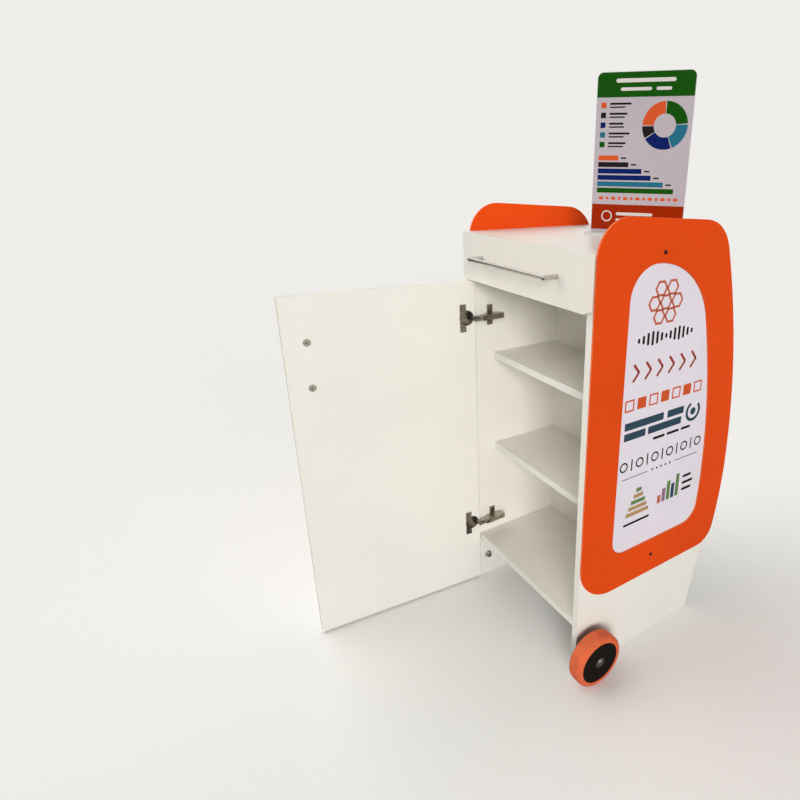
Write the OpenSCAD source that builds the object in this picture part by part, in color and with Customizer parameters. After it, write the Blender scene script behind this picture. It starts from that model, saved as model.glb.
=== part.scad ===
// Promotional display cart: a white board cabinet on two wheels, with a drawer and a storage
// cupboard on the operator's side and a bowed display with a clear shield on the customer's side.
// X runs to the right seen from the operator's side, Y from the operator to the customer, Z up.

/* [Cabinet] */
// Width over the two side panels
body_w = 416; // [380:1:520]
// Thickness of the boards
panel_t = 16; // [15:0.5:18]
// Height of the worktop's upper face
top_z = 910; // [890:1:960]
// Depth of the worktop
top_depth = 340; // [330:1:345]
// Gap between the cabinet's front edges and the fronts
front_gap = 2; // [1.8:0.1:2.4]
// Radius of the side panel's upper customer corner
panel_top_r = 55; // [40:1:60]
// Radius of the side panel's lower customer corner
panel_foot_r = 8; // [6:1:14]

/* [Bowed side] */
// Reach of the side panel at its widest place
bow_y = 422; // [410:1:440]
// Height at which the side panel is widest
bow_z = 390; // [370:1:410]
// Radius of the bow above its widest place
bow_r_up = 1482; // [1400:1:1600]
// Radius of the panel's bow below its widest place
panel_r_low = 700; // [660:1:760]
// Lean of the panel's straight edge below that bow
panel_lean = 10.3; // [8:0.1:12]

/* [Shelves] */
// Underside of the bottom board
bottom_z = 120; // [112:1:126]
// Top faces of the storage and display shelves
shelf_tops = [389, 628];
// Distance from the cabinet's front edge to the storage shelves
storage_recess = 48; // [40:1:60]
// Front face of the divider
divider_y = 236; // [228:1:240]
// Setback of the display shelves from the bowed edge
display_recess = 4; // [3:0.5:5]
// Underside of the plinth
plinth_z = 40; // [30:1:60]
// Setback of the plinth from the bowed edge
plinth_recess = 2; // [1:0.5:6]
// Diameter of the dark pan heads on the bowed edges
stud_head_d = 9; // [7:0.5:11]
// Height of those heads
stud_head_h = 2.4; // [1.5:0.1:3]
// Diameter of their shanks
stud_d = 4; // [3:0.5:5]
// Length of their shanks
stud_len = 30; // [20:1:40]

/* [Shield] */
// Thickness of the clear shield
shield_t = 3; // [2:0.5:4]
// Setback of the shield's outer face from the bowed edge
shield_inset = 6; // [5:0.5:8]
// Distance from the worktop's upper face down to the shield's upper edge
shield_drop = 62; // [60:1:90]
// Depth of the grooves that hold the shield
groove_d = 4; // [3:0.5:6]
// Clearance of the shield in its grooves
groove_gap = 0.3; // [0.2:0.05:0.4]

/* [Side overlays] */
// Thickness of the coloured overlays
overlay_t = 4; // [3:0.5:6]
// Reach of an overlay past the side panel's bow
overlay_reach = 18; // [14:1:22]
// Underside of an overlay
overlay_z = 182; // [178:1:200]
// Height of an overlay's upper edge over the worktop, taken at the front edge
ear_rise = 62; // [45:1:80]
// Slope of the upper edge
ear_slope = 3.5; // [2:0.1:5]
// Radius of the upper front corner
ear_front_r = 70; // [50:1:80]
// Radius of the upper customer corner
ear_rear_r = 84; // [70:1:90]
// Radius of the lower front corner
overlay_front_r = 90; // [60:1:100]
// Radius of the lower customer corner
overlay_rear_r = 50; // [30:1:60]
// Radius of the overlay's bow below its widest place
overlay_r_low = 870; // [820:1:1100]
// Width of the coloured border at the front and the bow
border_w = 84; // [76:1:90]
// Underside of the window
window_z = 269; // [262:1:280]
// Radius of the window's bow below its widest place
window_r_low = 916; // [860:1:1000]
// Distance from the worktop's upper face down to the top of the window's arch
window_drop = 27; // [24:1:34]
// Length of the straight piece at the top of the arch
arch_flat = 1; // [0.5:0.5:8]
// Radius of the arch at the bow
arch_rear_r = 160; // [150:1:162]
// Radius of the window's lower front corner
window_front_r = 38; // [25:1:50]
// Radius of the window's lower customer corner
window_rear_r = 45; // [30:1:60]
// Thickness of the printed sheet in the window
insert_t = 1; // [0.6:0.1:1.5]
// Gap round the printed sheet
insert_gap = 0.3; // [0.2:0.05:0.5]
// Diameter of the overlay screws
overlay_screw_d = 4; // [3:0.5:5]
// Diameter of the overlay screw heads
overlay_head_d = 8; // [6:0.5:10]
// Height of the overlay screw heads
overlay_head_h = 2.2; // [1.5:0.1:3]
// Length of the overlay screws under the head
overlay_screw_len = 16; // [12:1:18]
// Places of the overlay screws from the front edge, the lower one and the upper one
overlay_screw_ys = [207, 165];
// Height of the lower overlay screw
overlay_screw_z = 228; // [220:1:240]

/* [Drawer] */
// Height of the drawer front
drawer_front_h = 102; // [96:1:110]
// Radius of the lower corners of the drawer front
front_corner_r = 6; // [3:0.5:10]
// Thickness of the drawer's sides and back
drawer_t = 12; // [10:1:13]
// Height of the drawer's sides
drawer_h = 70; // [60:1:72]
// Length of the drawer box
drawer_len = 214; // [190:1:220]
// Thickness of the drawer's bottom
drawer_bottom_t = 4; // [3:0.5:6]
// Depth of the grooves that hold the bottom
bottom_groove = 6; // [4:0.5:7]
// Height of the grooves above the sides' lower edge
bottom_up = 8; // [6:0.5:12]
// Space for a runner at each side of the drawer
runner_gap = 13; // [12.6:0.1:14]
// Height of a runner's cabinet channel
runner_h = 36; // [30:1:40]
// Length of a runner
runner_len = 204; // [180:1:210]
// Thickness of the runner's sheet
runner_sheet = 1.5; // [1.2:0.1:2]
// Distance from the cabinet's front edge to the runners
runner_y = 6; // [4:1:10]
// Play between a runner's slide and its channel
runner_play = 0.6; // [0.4:0.1:0.8]
// Space between a runner's channel and the drawer's side
channel_back = 2.5; // [2:0.1:3]
// Space between the drawer's sides and the worktop
drawer_drop = 8; // [6:0.5:12]
// Clearance of the drawer's bottom in its grooves
bottom_gap = 0.1; // [0.05:0.05:0.2]

/* [Handles] */
// Diameter of the handle bars
bar_d = 9; // [8:0.5:10]
// Reach of a handle from the front that carries it
handle_reach = 35; // [28:1:40]
// Spacing of the drawer handle's posts
drawer_handle_w = 256; // [224:1:288]
// Distance from the worktop's upper face down to the drawer handle
drawer_handle_drop = 48; // [44:1:55]
// Spacing of the door handle's posts
door_handle_h = 96; // [88:1:128]
// Distance from the door's upper edge down to the door handle's middle
door_handle_drop = 142; // [120:1:160]
// Distance from the door's free edge to its handle
door_handle_in = 45.5; // [35:0.5:60]
// Diameter of the handle screws
handle_screw_d = 4; // [3:0.5:5]
// Diameter of their washer heads
handle_head_d = 15; // [12:0.5:18]
// Thickness of their washer heads
handle_head_h = 2; // [1.5:0.1:2.5]
// Depth of the threaded holes in the posts
post_hole = 12; // [8:1:16]

/* [Door] */
// Underside of the door
door_z = 5; // [4:0.5:10]
// Gap between the door and the drawer front
door_top_gap = 3; // [2:0.5:4]
// Gap at each side of the door
door_side_gap = 1.2; // [1:0.1:1.5]
// How far the door stands open
door_open = 95; // [0:1:105]

/* [Concealed hinges] */
// Height of the lower hinge over the door's lower edge
hinge_low = 175; // [165:1:200]
// Distance from the door's upper edge down to the upper hinge
hinge_drop = 84; // [70:1:120]
// Diameter of a hinge cup
cup_d = 35; // [34:0.5:36]
// Depth of a hinge cup
cup_depth = 12.5; // [12:0.1:12.8]
// Distance from the door's edge to the cup's middle
cup_e = 22; // [21.5:0.1:22.5]
// Wall of the cup
cup_wall = 1; // [0.8:0.1:1.2]
// Length of the cup's flange
flange_h = 64; // [60:1:66]
// Width of the flange's ends
flange_w = 15; // [13:0.5:16]
// Thickness of the flange
flange_t = 1.2; // [1:0.1:1.4]
// Radius of the pivot pins
pin_r = 1.2; // [1:0.05:1.3]
// Radial clearance of a link on its pin
pin_gap = 0.05; // [0.03:0.01:0.08]
// Half width of the links in side view
link_w = 1.9; // [1.7:0.05:2]
// Half thickness of the outer link
outer_link_z = 2.8; // [2.4:0.1:3]
// Thickness of each cheek of the inner link
cheek_t = 1.4; // [1:0.1:1.5]
// Reach of a link's round eye past the strip's half width
eye_rim = 0.4; // [0.2:0.1:0.5]
// Half width of the inner link's cheeks in side view
cheek_w = 1.6; // [1.4:0.05:1.7]
// Side gap between neighbouring hinge pieces
layer_gap = 0.3; // [0.2:0.05:0.4]
// Thickness of the arm's sheet
arm_t = 1.2; // [1:0.1:1.4]
// Depth of the notch in the cup's rim for the links
notch_depth = 2; // [1.6:0.1:2.5]
// Spacing of the cup's screws
cup_pitch = 48; // [46:0.5:50]
// Distance from the cup's middle to the line of its screws
cup_screw_in = 9; // [8:0.5:10]
// Distance from the cabinet panel to the arm's web
arm_reach = 25; // [24.5:0.5:26]
// Width of the arm's cheeks
arm_w = 13; // [12:0.5:14]
// Width of the arm's nose
nose_w = 6; // [5.5:0.1:6.5]
// Distance from the front edge to the arm's cheeks
arm_y = 8; // [7.5:0.5:9]
// Radius of the neck between the arm's nose and its cheeks
neck_r = 5.5; // [5:0.1:6]
// Distance from the front edge to the arm's web
web_y = 20; // [19:0.5:22]
// Length of the hinge arm behind its outer pivot
arm_tail = 47; // [44:1:50]
// Distances from the front edge to the arm's two screws
arm_screw_ys = [29, 54];
// Length of the arm's screws under the head
arm_screw_len = 13; // [10:0.5:16]
// Distance from the front edge to the mounting plate's screws
plate_y = 37; // [35:0.5:39]
// Spacing of the mounting plate's screws
plate_pitch = 32; // [30:0.5:34]
// Thickness of the mounting plate's wings
plate_t = 3; // [2.5:0.5:4]
// Width of the mounting plate's wings
wing_w = 14; // [12:0.5:16]
// Length of a wing past its screw
wing_end = 8; // [7:0.5:9]
// Length of the mounting plate's rib ahead of its screws
rib_front = 14; // [12:0.5:15]
// Length of the mounting plate's rib
rib_len = 34; // [30:1:36]
// Diameter of the hinges' screws
hinge_screw_d = 4; // [3.5:0.1:4.5]
// Diameter of their heads
hinge_head_d = 7; // [6.5:0.1:8]
// Height of their heads
hinge_head_h = 1.5; // [1.2:0.1:2]
// Length of the screws of the mounting plates and cups
hinge_screw_len = 12; // [10:0.5:13]

/* [Wheels] */
// Radius of a wheel
wheel_r = 60; // [54:1:64]
// Width of a tyre
tyre_w = 36; // [30:1:40]
// Rounding of the tyre's shoulders
tyre_round = 9; // [6:0.5:11]
// Radius of the hub's rim
hub_r = 47.5; // [42:0.5:50]
// Thickness of the hub's rim
hub_rim_t = 4; // [3:0.5:6]
// Thickness of the hub's outer disc
hub_disc_t = 5; // [4:0.5:8]
// Radius of the hub's boss
hub_boss_r = 11; // [9:0.5:14]
// Setback of the hub's faces from the tyre's
hub_inset = 1; // [0.5:0.5:3]
// Thickness of the ribs behind the hub's disc
hub_rib_t = 3; // [2:0.5:4]
// Distance from the cabinet's front edge to the axle
axle_y = 23; // [20:1:32]
// Diameter of the axle bolt
axle_d = 8; // [6:1:10]
// Length of the spacer between panel and wheel
spacer_len = 16.5; // [12:0.5:20]
// Diameter of the spacer
spacer_d = 18; // [15:1:24]
// Running clearance of a hub on its bolt
axle_gap = 0.06; // [0.03:0.01:0.09]
// Side clearance of a wheel
wheel_side_gap = 0.3; // [0.2:0.05:0.4]
// Thickness of the washer under the axle nut
washer_t = 1.6; // [1.2:0.1:2]
// Length of the bolt that stands in the cabinet
bolt_end = 12; // [10:0.5:16]

/* [Sign] */
// Width of the sign board
sign_w = 195; // [160:1:220]
// Height of the sign board
sign_h = 311; // [260:1:320]
// Thickness of the sign board
sign_t = 3; // [2:0.5:5]
// Radius of the sign's upper corners
sign_r = 12; // [5:1:20]
// Place of the sign on the worktop, right of the middle and behind the front edge
sign_at = [25, 274];
// Turn of the sign about the vertical
sign_turn = 35.7; // [0:0.1:40]
// Width of the sign's foot
foot_w = 205; // [198:1:215]
// Reach of the foot ahead of the board's middle plane
foot_front = 45; // [35:1:60]
// Reach of the foot behind the board's middle plane
foot_back = 9; // [6:0.5:12]
// Thickness of the foot
foot_t = 5; // [4:0.5:8]
// Radius of the foot's corners
foot_r = 8; // [4:0.5:12]
// Depth of the foot's slot for the board
slot_depth = 2; // [1:0.5:3]
// Clearance of the board in that slot
slot_gap = 0.1; // [0.05:0.05:0.2]

/* [Hidden] */
$fn = 96;
eps = 0.01;
big = 3000;
// How far a fillet's circle runs past the edges that it joins, so that it crosses them cleanly
blend = 0.02;
// How much wider a screw's hole is than the screw
hole_gap = 0.1;
// How far a cut runs past the piece that it cuts
over = 1;
white = [0.93, 0.92, 0.88];
white_front = [0.88, 0.86, 0.8];
orange = [0.88, 0.33, 0.13];
steel = [0.68, 0.67, 0.63];
nickel = [0.5, 0.47, 0.42];
dark = [0.12, 0.11, 0.11];

// Widths and levels that follow from the driving sizes
half_w = body_w / 2;
inner_w = half_w - panel_t;
board_z = top_z - panel_t;
floor_z = bottom_z + panel_t;
drawer_front_z = top_z - drawer_front_h;
front_face_y = -front_gap - panel_t;

shield_top = top_z - shield_drop;
ear_z = top_z + ear_rise;
window_top = top_z - window_drop;
drawer_handle_z = top_z - drawer_handle_drop;
door_top = drawer_front_z - door_top_gap;
door_handle_z = door_top - door_handle_drop;
hinge_zs = [door_z + hinge_low, door_top - hinge_drop];

// Height at which the panel's lower bow passes into its straight edge
leg_z = bow_z - panel_r_low * sin(panel_lean);

// Reach of the side panel at a height z
function bow_at(z) =
  let (r = z > bow_z ? bow_r_up : panel_r_low, dz = z - bow_z)
  z < leg_z ? bow_y - r + r / cos(panel_lean) + dz * tan(panel_lean) : bow_y - r + sqrt(r * r - dz * dz);

// Lean of the side panel's bowed edge at a height z, outward when positive
function bow_lean(z) =
  z < leg_z ? panel_lean : asin((bow_z - z) / (z > bow_z ? bow_r_up : panel_r_low));

// Vectors in the plane
function turn2(v, a) = [v.x * cos(a) - v.y * sin(a), v.x * sin(a) + v.y * cos(a)];
function along(p, v, s) = [p.x + v.x * s, p.y + v.y * s];

// Where a line through p along v leaves a circle about c, on the far side
function line_on_circle(p, v, c, r) =
  let (d = p - c, b = d * v)
  along(p, v, -b + sqrt(b * b - d * d + r * r));

// Centre of a fillet of radius f between a line through p along v and the circle about c;
// inward is the side of the line on which the material lies
function fillet_centre(p, v, inward, c, r, f) = line_on_circle(along(p, inward, f), v, c, r - f);

// Material outside a fillet between a line and a circle, to be cut away
module line_circle_cut(p, v, inward, c, r, f) {
  m = fillet_centre(p, v, inward, c, r, f);
  corner = line_on_circle(p, v, c, r);
  t_line = along(m, inward, -f);
  out = (m - c) / norm(m - c);
  t_arc = along(m, out, f);
  tip = along(corner, (corner - m) / norm(corner - m), f / 4);
  difference() {
    polygon([m, t_line, tip, t_arc]);
    translate(m) circle(r = f + blend);
  }
}

// Material outside a fillet of radius f at the corner p, from which two straight edges run along
// the unit vectors a and b
module corner_cut(p, a, b, f) {
  half = acos(a * b) / 2;
  mid = (a + b) / norm(a + b);
  m = along(p, mid, f / sin(half));
  difference() {
    polygon([m, along(p, a, f / tan(half)), along(p, mid, -f / 4), along(p, b, f / tan(half))]);
    translate(m) circle(r = f + blend);
  }
}

// Centre of an arc of radius r that reaches y at the height of the widest place
function bow_centre(y, r) = [y - r, bow_z];

// Area inside a bow that reaches y at its widest place, from height z0 to z1, seen along X
module bow_area(y, r_up, r_low, z0, z1) {
  z_up = max(z0, bow_z);
  intersection() {
    translate([0, z_up]) square([big, z1 - z_up]);
    translate(bow_centre(y, r_up)) circle(r = r_up, $fn = 720);
  }
  if (z0 < bow_z) intersection() {
    translate([0, z0]) square([big, bow_z - z0]);
    translate(bow_centre(y, r_low)) circle(r = r_low, $fn = 720);
  }
}

// Stands a drawing of Y and Z up at x and gives it a thickness towards +X
module along_x(x, t) {
  translate([x, 0, 0]) rotate([90, 0, 90]) linear_extrude(t) children();
}

// Mirrors what stands on the right-hand side to the left when side is -1
module on_side(side) {
  if (side < 0) mirror([1, 0, 0]) children();
  else children();
}

// Side panels
module side_outline() {
  c_up = bow_centre(bow_y, bow_r_up);
  foot = [bow_at(0), 0];
  up = [sin(panel_lean), cos(panel_lean)];
  difference() {
    union() {
      bow_area(bow_y, bow_r_up, panel_r_low, leg_z - panel_r_low / 20, board_z);
      polygon([[0, 0], [foot.x - blend, 0], [bow_at(leg_z) - blend, leg_z], [0, leg_z]]);
    }
    line_circle_cut([0, board_z], [1, 0], [0, -1], c_up, bow_r_up, panel_top_r);
    corner_cut([foot.x - blend, 0], [-1, 0], up, panel_foot_r);
  }
}

// Space of the shield between the upper display shelf and z1, widened by gap
module shield_band(gap, z1) {
  outer = shield_inset - gap;
  inner = shield_inset + shield_t + gap;
  difference() {
    bow_area(bow_y - outer, bow_r_up - outer, panel_r_low, shelf_tops[1], z1);
    bow_area(bow_y - inner, bow_r_up - inner, panel_r_low, shelf_tops[1] - over, z1 + over);
  }
}

// The screws in the bowed edges hold the bottom board and both display shelves
stud_zs = [for (z = [floor_z, shelf_tops[0], shelf_tops[1]]) z - panel_t / 2];

// Puts what stands along +Z from the origin square on the bowed edge at the height z
module on_bow(z) {
  translate([half_w - panel_t / 2, bow_at(z), z]) rotate([-90 - bow_lean(z), 0, 0]) children();
}

module side_panel(side) {
  color(white) on_side(side) difference() {
    along_x(inner_w, panel_t) side_outline();
    along_x(inner_w - over, groove_d + over) shield_band(groove_gap, board_z + over);
    translate([inner_w - over, axle_y, wheel_r]) rotate([0, 90, 0])
      cylinder(d = axle_d + hole_gap, h = panel_t + 2 * over);
    for (z = stud_zs) on_bow(z) translate([0, 0, -stud_len])
      cylinder(d = stud_d + hole_gap, h = stud_len + over);
    overlay_screw_hole(overlay_screw_places[0]);
    if (side < 0) mirror([1, 0, 0]) plate_screw_holes();
  }
}

// Worktop, bottom board, divider, plinth and shelves
module top_board() {
  color(white) difference() {
    translate([-half_w, 0, board_z]) cube([body_w, top_depth, panel_t]);
    for (side = [-1, 1]) on_side(side) overlay_screw_hole(overlay_screw_places[1]);
  }
}

module bottom_board() {
  color(white) translate([-inner_w, 0, bottom_z])
    cube([2 * inner_w, bow_at(bottom_z) - display_recess, panel_t]);
}

module divider() {
  color(white) translate([-inner_w, divider_y, floor_z])
    cube([2 * inner_w, panel_t, board_z - floor_z]);
}

module plinth() {
  color(white) translate([-inner_w, bow_at(plinth_z) - plinth_recess - panel_t, plinth_z])
    cube([2 * inner_w, panel_t, bottom_z - plinth_z]);
}

module storage_shelf(i) {
  color(white) translate([-inner_w, storage_recess, shelf_tops[i] - panel_t])
    cube([2 * inner_w, divider_y - storage_recess, panel_t]);
}

module display_shelf(i) {
  y = divider_y + panel_t;
  reach = min(bow_at(shelf_tops[i]), bow_at(shelf_tops[i] - panel_t)) - display_recess;
  color(white) translate([-inner_w, y, shelf_tops[i] - panel_t])
    cube([2 * inner_w, reach - y, panel_t]);
}

// Clear shield in its grooves, standing on the upper display shelf
module shield() {
  w = inner_w + groove_d - groove_gap;
  color([0.8, 0.88, 0.92, 0.4]) along_x(-w, 2 * w) shield_band(0, shield_top);
}

module edge_studs() {
  color(dark) for (side = [-1, 1]) on_side(side) for (z = stud_zs) on_bow(z) {
    translate([0, 0, -stud_len]) cylinder(d = stud_d, h = stud_len + stud_head_h / 2);
    translate([0, 0, 5 * eps]) pan_head(stud_head_d, stud_head_h);
  }
}

// Low round head with a domed top, standing on z = 0
module pan_head(d, h) {
  intersection() {
    cylinder(d = d, h = h);
    translate([0, 0, h - d]) sphere(r = d);
  }
}

// Coloured overlays with their arched window
overlay_screw_places = [[overlay_screw_ys[0], overlay_screw_z], [overlay_screw_ys[1], top_z - panel_t / 2]];

// Hole for an overlay screw at p in the right-hand side of the cabinet
module overlay_screw_hole(p) {
  deep = overlay_screw_len - overlay_t + over;
  translate([half_w - deep, p.x, p.y]) rotate([0, 90, 0])
    cylinder(d = overlay_screw_d + hole_gap, h = deep + over);
}

ear_dir = [cos(ear_slope), -sin(ear_slope)];
ear_in = [-sin(ear_slope), -cos(ear_slope)];

module ear_front_cut() {
  m = [ear_front_r, ear_z - (ear_front_r * sin(ear_slope) + ear_front_r) / cos(ear_slope)];
  touch = along(m, ear_in, -ear_front_r);
  difference() {
    polygon([[-1, m.y], m, touch, [-1, ear_z + 1]]);
    translate(m) circle(r = ear_front_r + blend);
  }
}

module overlay_outline() {
  reach = bow_y + overlay_reach;
  r_up = bow_r_up + overlay_reach;
  difference() {
    bow_area(reach, r_up, overlay_r_low, overlay_z, ear_z);
    polygon([[-1, ear_z + sin(ear_slope)], [-1, ear_z + big], [big, ear_z + big],
      [big, ear_z - big * tan(ear_slope)]]);
    line_circle_cut([0, ear_z], ear_dir, ear_in, bow_centre(reach, r_up), r_up, ear_rear_r);
    line_circle_cut([0, overlay_z], [1, 0], [0, 1], bow_centre(reach, overlay_r_low), overlay_r_low,
      overlay_rear_r);
    ear_front_cut();
    corner_cut([0, overlay_z], [1, 0], [0, 1], overlay_front_r);
  }
}

// Window of the overlay, taken in by gap
module window_outline(gap) {
  reach = bow_y + overlay_reach - border_w - gap;
  r_up = bow_r_up + overlay_reach - border_w - gap;
  r_low = window_r_low - gap;
  c_up = bow_centre(reach, r_up);
  y0 = border_w + gap;
  z0 = window_z + gap;
  z1 = window_top - gap;
  rear = fillet_centre([0, z1], [1, 0], [0, -1], c_up, r_up, arch_rear_r);
  difference() {
    intersection() {
      bow_area(reach, r_up, r_low, z0, z1);
      translate([y0, z0]) square([big, z1 - z0]);
    }
    line_circle_cut([0, z1], [1, 0], [0, -1], c_up, r_up, arch_rear_r);
    line_circle_cut([0, z0], [1, 0], [0, 1], bow_centre(reach, r_low), r_low, window_rear_r);
    corner_cut([y0, z1], [1, 0], [0, -1], rear.x - arch_flat - y0);
    corner_cut([y0, z0], [1, 0], [0, 1], window_front_r);
  }
}

module overlay(side) {
  color(orange) on_side(side) difference() {
    along_x(half_w, overlay_t) difference() {
      overlay_outline();
      window_outline(0);
    }
    for (p = overlay_screw_places) translate([half_w - over, p.x, p.y])
      rotate([0, 90, 0]) cylinder(d = overlay_screw_d + 2 * hole_gap, h = overlay_t + 2 * over);
  }
}

module insert(side) {
  color([0.9, 0.88, 0.9]) on_side(side) along_x(half_w, insert_t) window_outline(insert_gap);
}

module overlay_screws() {
  color(dark) for (side = [-1, 1]) on_side(side)
    for (p = overlay_screw_places) translate([half_w + overlay_t, p.x, p.y]) rotate([0, 90, 0]) {
      translate([0, 0, -overlay_screw_len]) cylinder(d = overlay_screw_d, h = overlay_screw_len + eps);
      pan_head(overlay_head_d, overlay_head_h);
    }
}

// Drawer with its runners
drawer_z = board_z - drawer_h - drawer_drop;
drawer_half = inner_w - runner_gap;
runner_z = drawer_z + drawer_h / 2 - runner_h / 2;
slide_h = runner_h - 2 * runner_sheet - runner_play;
channel_w = runner_gap - channel_back;

module runner_channel(side) {
  color(steel) on_side(side) translate([inner_w - channel_w, runner_y, runner_z]) rotate([90, 0, 0])
    mirror([0, 0, 1]) linear_extrude(runner_len) difference() {
      square([channel_w, runner_h]);
      translate([-over, runner_sheet])
        square([channel_w - runner_sheet + over, runner_h - 2 * runner_sheet]);
    }
}

module runner_slide(side) {
  w = runner_gap - runner_sheet - runner_play;
  color(steel) on_side(side) translate([drawer_half, runner_y, runner_z + (runner_h - slide_h) / 2])
    rotate([90, 0, 0]) mirror([0, 0, 1]) linear_extrude(runner_len) difference() {
      square([w, slide_h]);
      translate([runner_sheet, runner_sheet]) square([w - runner_sheet + over, slide_h - 2 * runner_sheet]);
    }
}

module rounded_front(w, z0, z1, r) {
  translate([0, front_face_y, 0]) rotate([90, 0, 0]) mirror([0, 0, 1]) linear_extrude(panel_t)
    difference() {
      translate([-w, z0]) square([2 * w, z1 - z0]);
      for (s = [-1, 1]) corner_cut([s * w, z0], [-s, 0], [0, 1], r);
    }
}

module drawer_front() {
  color(white_front) difference() {
    rounded_front(half_w, drawer_front_z, top_z, front_corner_r);
    for (s = [-1, 1]) translate([s * drawer_handle_w / 2, front_face_y - over, drawer_handle_z])
      rotate([-90, 0, 0]) cylinder(d = handle_screw_d + hole_gap, h = panel_t + 2 * over);
  }
}

module bottom_slot() {
  w = drawer_half - drawer_t + bottom_groove;
  translate([-w - bottom_gap, -front_gap - over, drawer_z + bottom_up])
    cube([2 * (w + bottom_gap), drawer_len + 2 * over, drawer_bottom_t + 2 * bottom_gap]);
}

module drawer_side(side) {
  color(white) difference() {
    on_side(side) translate([drawer_half - drawer_t, -front_gap, drawer_z])
      cube([drawer_t, drawer_len, drawer_h]);
    bottom_slot();
  }
}

module drawer_back() {
  w = drawer_half - drawer_t;
  color(white) difference() {
    translate([-w, -front_gap + drawer_len - drawer_t, drawer_z]) cube([2 * w, drawer_t, drawer_h]);
    translate([-w - over, -front_gap, drawer_z - over])
      cube([2 * (w + over), drawer_len, over + bottom_up + drawer_bottom_t + 2 * bottom_gap]);
  }
}

module drawer_bottom() {
  w = drawer_half - drawer_t + bottom_groove;
  color(white) translate([-w, -front_gap, drawer_z + bottom_up + bottom_gap])
    cube([2 * w, drawer_len - over, drawer_bottom_t]);
}

// Bar handle with elbows, along X, whose posts stand on the plane y = 0 and reach to -Y
module bar_handle(span) {
  y = bar_d / 2 - handle_reach;
  difference() {
    union() {
      translate([-span / 2, y, 0]) rotate([0, 90, 0]) cylinder(d = bar_d, h = span);
      for (s = [-1, 1]) translate([s * span / 2, y, 0]) {
        sphere(d = bar_d);
        rotate([-90, 0, 0]) cylinder(d = bar_d, h = -y);
      }
    }
    for (s = [-1, 1]) translate([s * span / 2, -post_hole, 0])
      rotate([-90, 0, 0]) cylinder(d = handle_screw_d + hole_gap, h = post_hole + over);
  }
}

// Screws of such a handle, whose washer heads lie on the plane y = t
module bar_handle_screws(span, t) {
  for (s = [-1, 1]) translate([s * span / 2, t, 0]) rotate([90, 0, 0]) {
    translate([0, 0, -handle_head_h]) cylinder(d = handle_head_d, h = handle_head_h);
    cylinder(d = handle_screw_d, h = t + post_hole - over);
  }
}

module drawer_handle() {
  color(steel) translate([0, front_face_y, drawer_handle_z]) bar_handle(drawer_handle_w);
}

module drawer_handle_screws() {
  color(steel) translate([0, front_face_y, drawer_handle_z]) bar_handle_screws(drawer_handle_w, panel_t);
}

// Concealed hinges. Pivots are points of X and Y; X counts from the left panel's inner face.
link_share = -0.22;
inner_share = -0.2447;
arm_pivot = [18, 15];
nose_pivot = [18, -9];
link_bulge = 8;
inner_bulge = 2;
cup_pivot_e = [8.6, 2.8];
cup_open_e = [12.8, 5.2];
door_hinge_x = -panel_t + door_side_gap;

// A point of the shut door, e from its hinge edge and t into its thickness
function in_door(p) = [door_hinge_x + p.x, -front_gap - p.y];
cup_pivot_shut = in_door(cup_pivot_e);
cup_pivot = arm_pivot + turn2(cup_pivot_shut - arm_pivot, -link_share * door_open);
function door_to_world(p) = cup_pivot + turn2(p - cup_pivot_shut, -door_open);
open_pivot = door_to_world(in_door(cup_open_e));
inner_len = norm(open_pivot - nose_pivot);
inner_turn = atan2(open_pivot.y - nose_pivot.y, open_pivot.x - nose_pivot.x);
outer_len = norm(arm_pivot - cup_pivot_shut);
cheek_z0 = outer_link_z + layer_gap;
cheek_z1 = cheek_z0 + cheek_t;
arm_z0 = cheek_z1 + layer_gap;
arm_z1 = arm_z0 + arm_t;
arm_back = arm_pivot.y + arm_tail;
rib_top = arm_reach - arm_t;

module at_hinge(z) {
  translate([-inner_w, 0, z]) children();
}

module at_door() {
  translate([cup_pivot.x - inner_w, cup_pivot.y, 0]) rotate(-door_open)
    translate([inner_w - cup_pivot_shut.x, -cup_pivot_shut.y, 0]) children();
}

// Gives a drawing in the hinge's plane a thickness from z0 to z1
module layer(z0, z1) {
  translate([0, 0, z0]) linear_extrude(z1 - z0) children();
}

// Curved strip of half width w from the origin to (len, 0), bulging towards -Y by s, with round eyes
module curved_strip(len, s, w) {
  phi = 2 * atan(2 * s / len);
  r = len / (2 * sin(phi));
  c = [len / 2, r - s];
  wide = 3 * r * sin(phi);
  low = c.y - 3 * r * cos(phi);
  intersection() {
    translate(c) difference() {
      circle(r = r + w);
      circle(r = r - w);
    }
    polygon([c, [c.x - wide, low], [c.x + wide, low]]);
  }
  circle(r = w + eye_rim);
  translate([len, 0]) circle(r = w + eye_rim);
}

module outer_links() {
  d = arm_pivot - cup_pivot;
  color(nickel) for (z = hinge_zs) at_hinge(z) translate([cup_pivot.x, cup_pivot.y, 0])
    rotate(atan2(d.y, d.x)) layer(-outer_link_z, outer_link_z) difference() {
      curved_strip(outer_len, link_bulge, link_w);
      circle(r = pin_r + pin_gap);
      translate([outer_len, 0]) circle(r = pin_r + pin_gap);
    }
}

// Inner link: two cheeks on the nose pin, and a short stub at its open end on each side
module inner_links() {
  color(nickel) for (z = hinge_zs) at_hinge(z) translate([nose_pivot.x, nose_pivot.y, 0])
    rotate(inner_turn) {
      for (m = [0, 1]) mirror([0, 0, m]) {
        layer(cheek_z0, cheek_z1) mirror([0, 1]) curved_strip(inner_len, inner_bulge, cheek_w);
        translate([inner_len, 0, cheek_z1 - eps]) cylinder(r = pin_r, h = 2);
      }
      cylinder(r = pin_r, h = 2 * arm_z1, center = true);
    }
}

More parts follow.
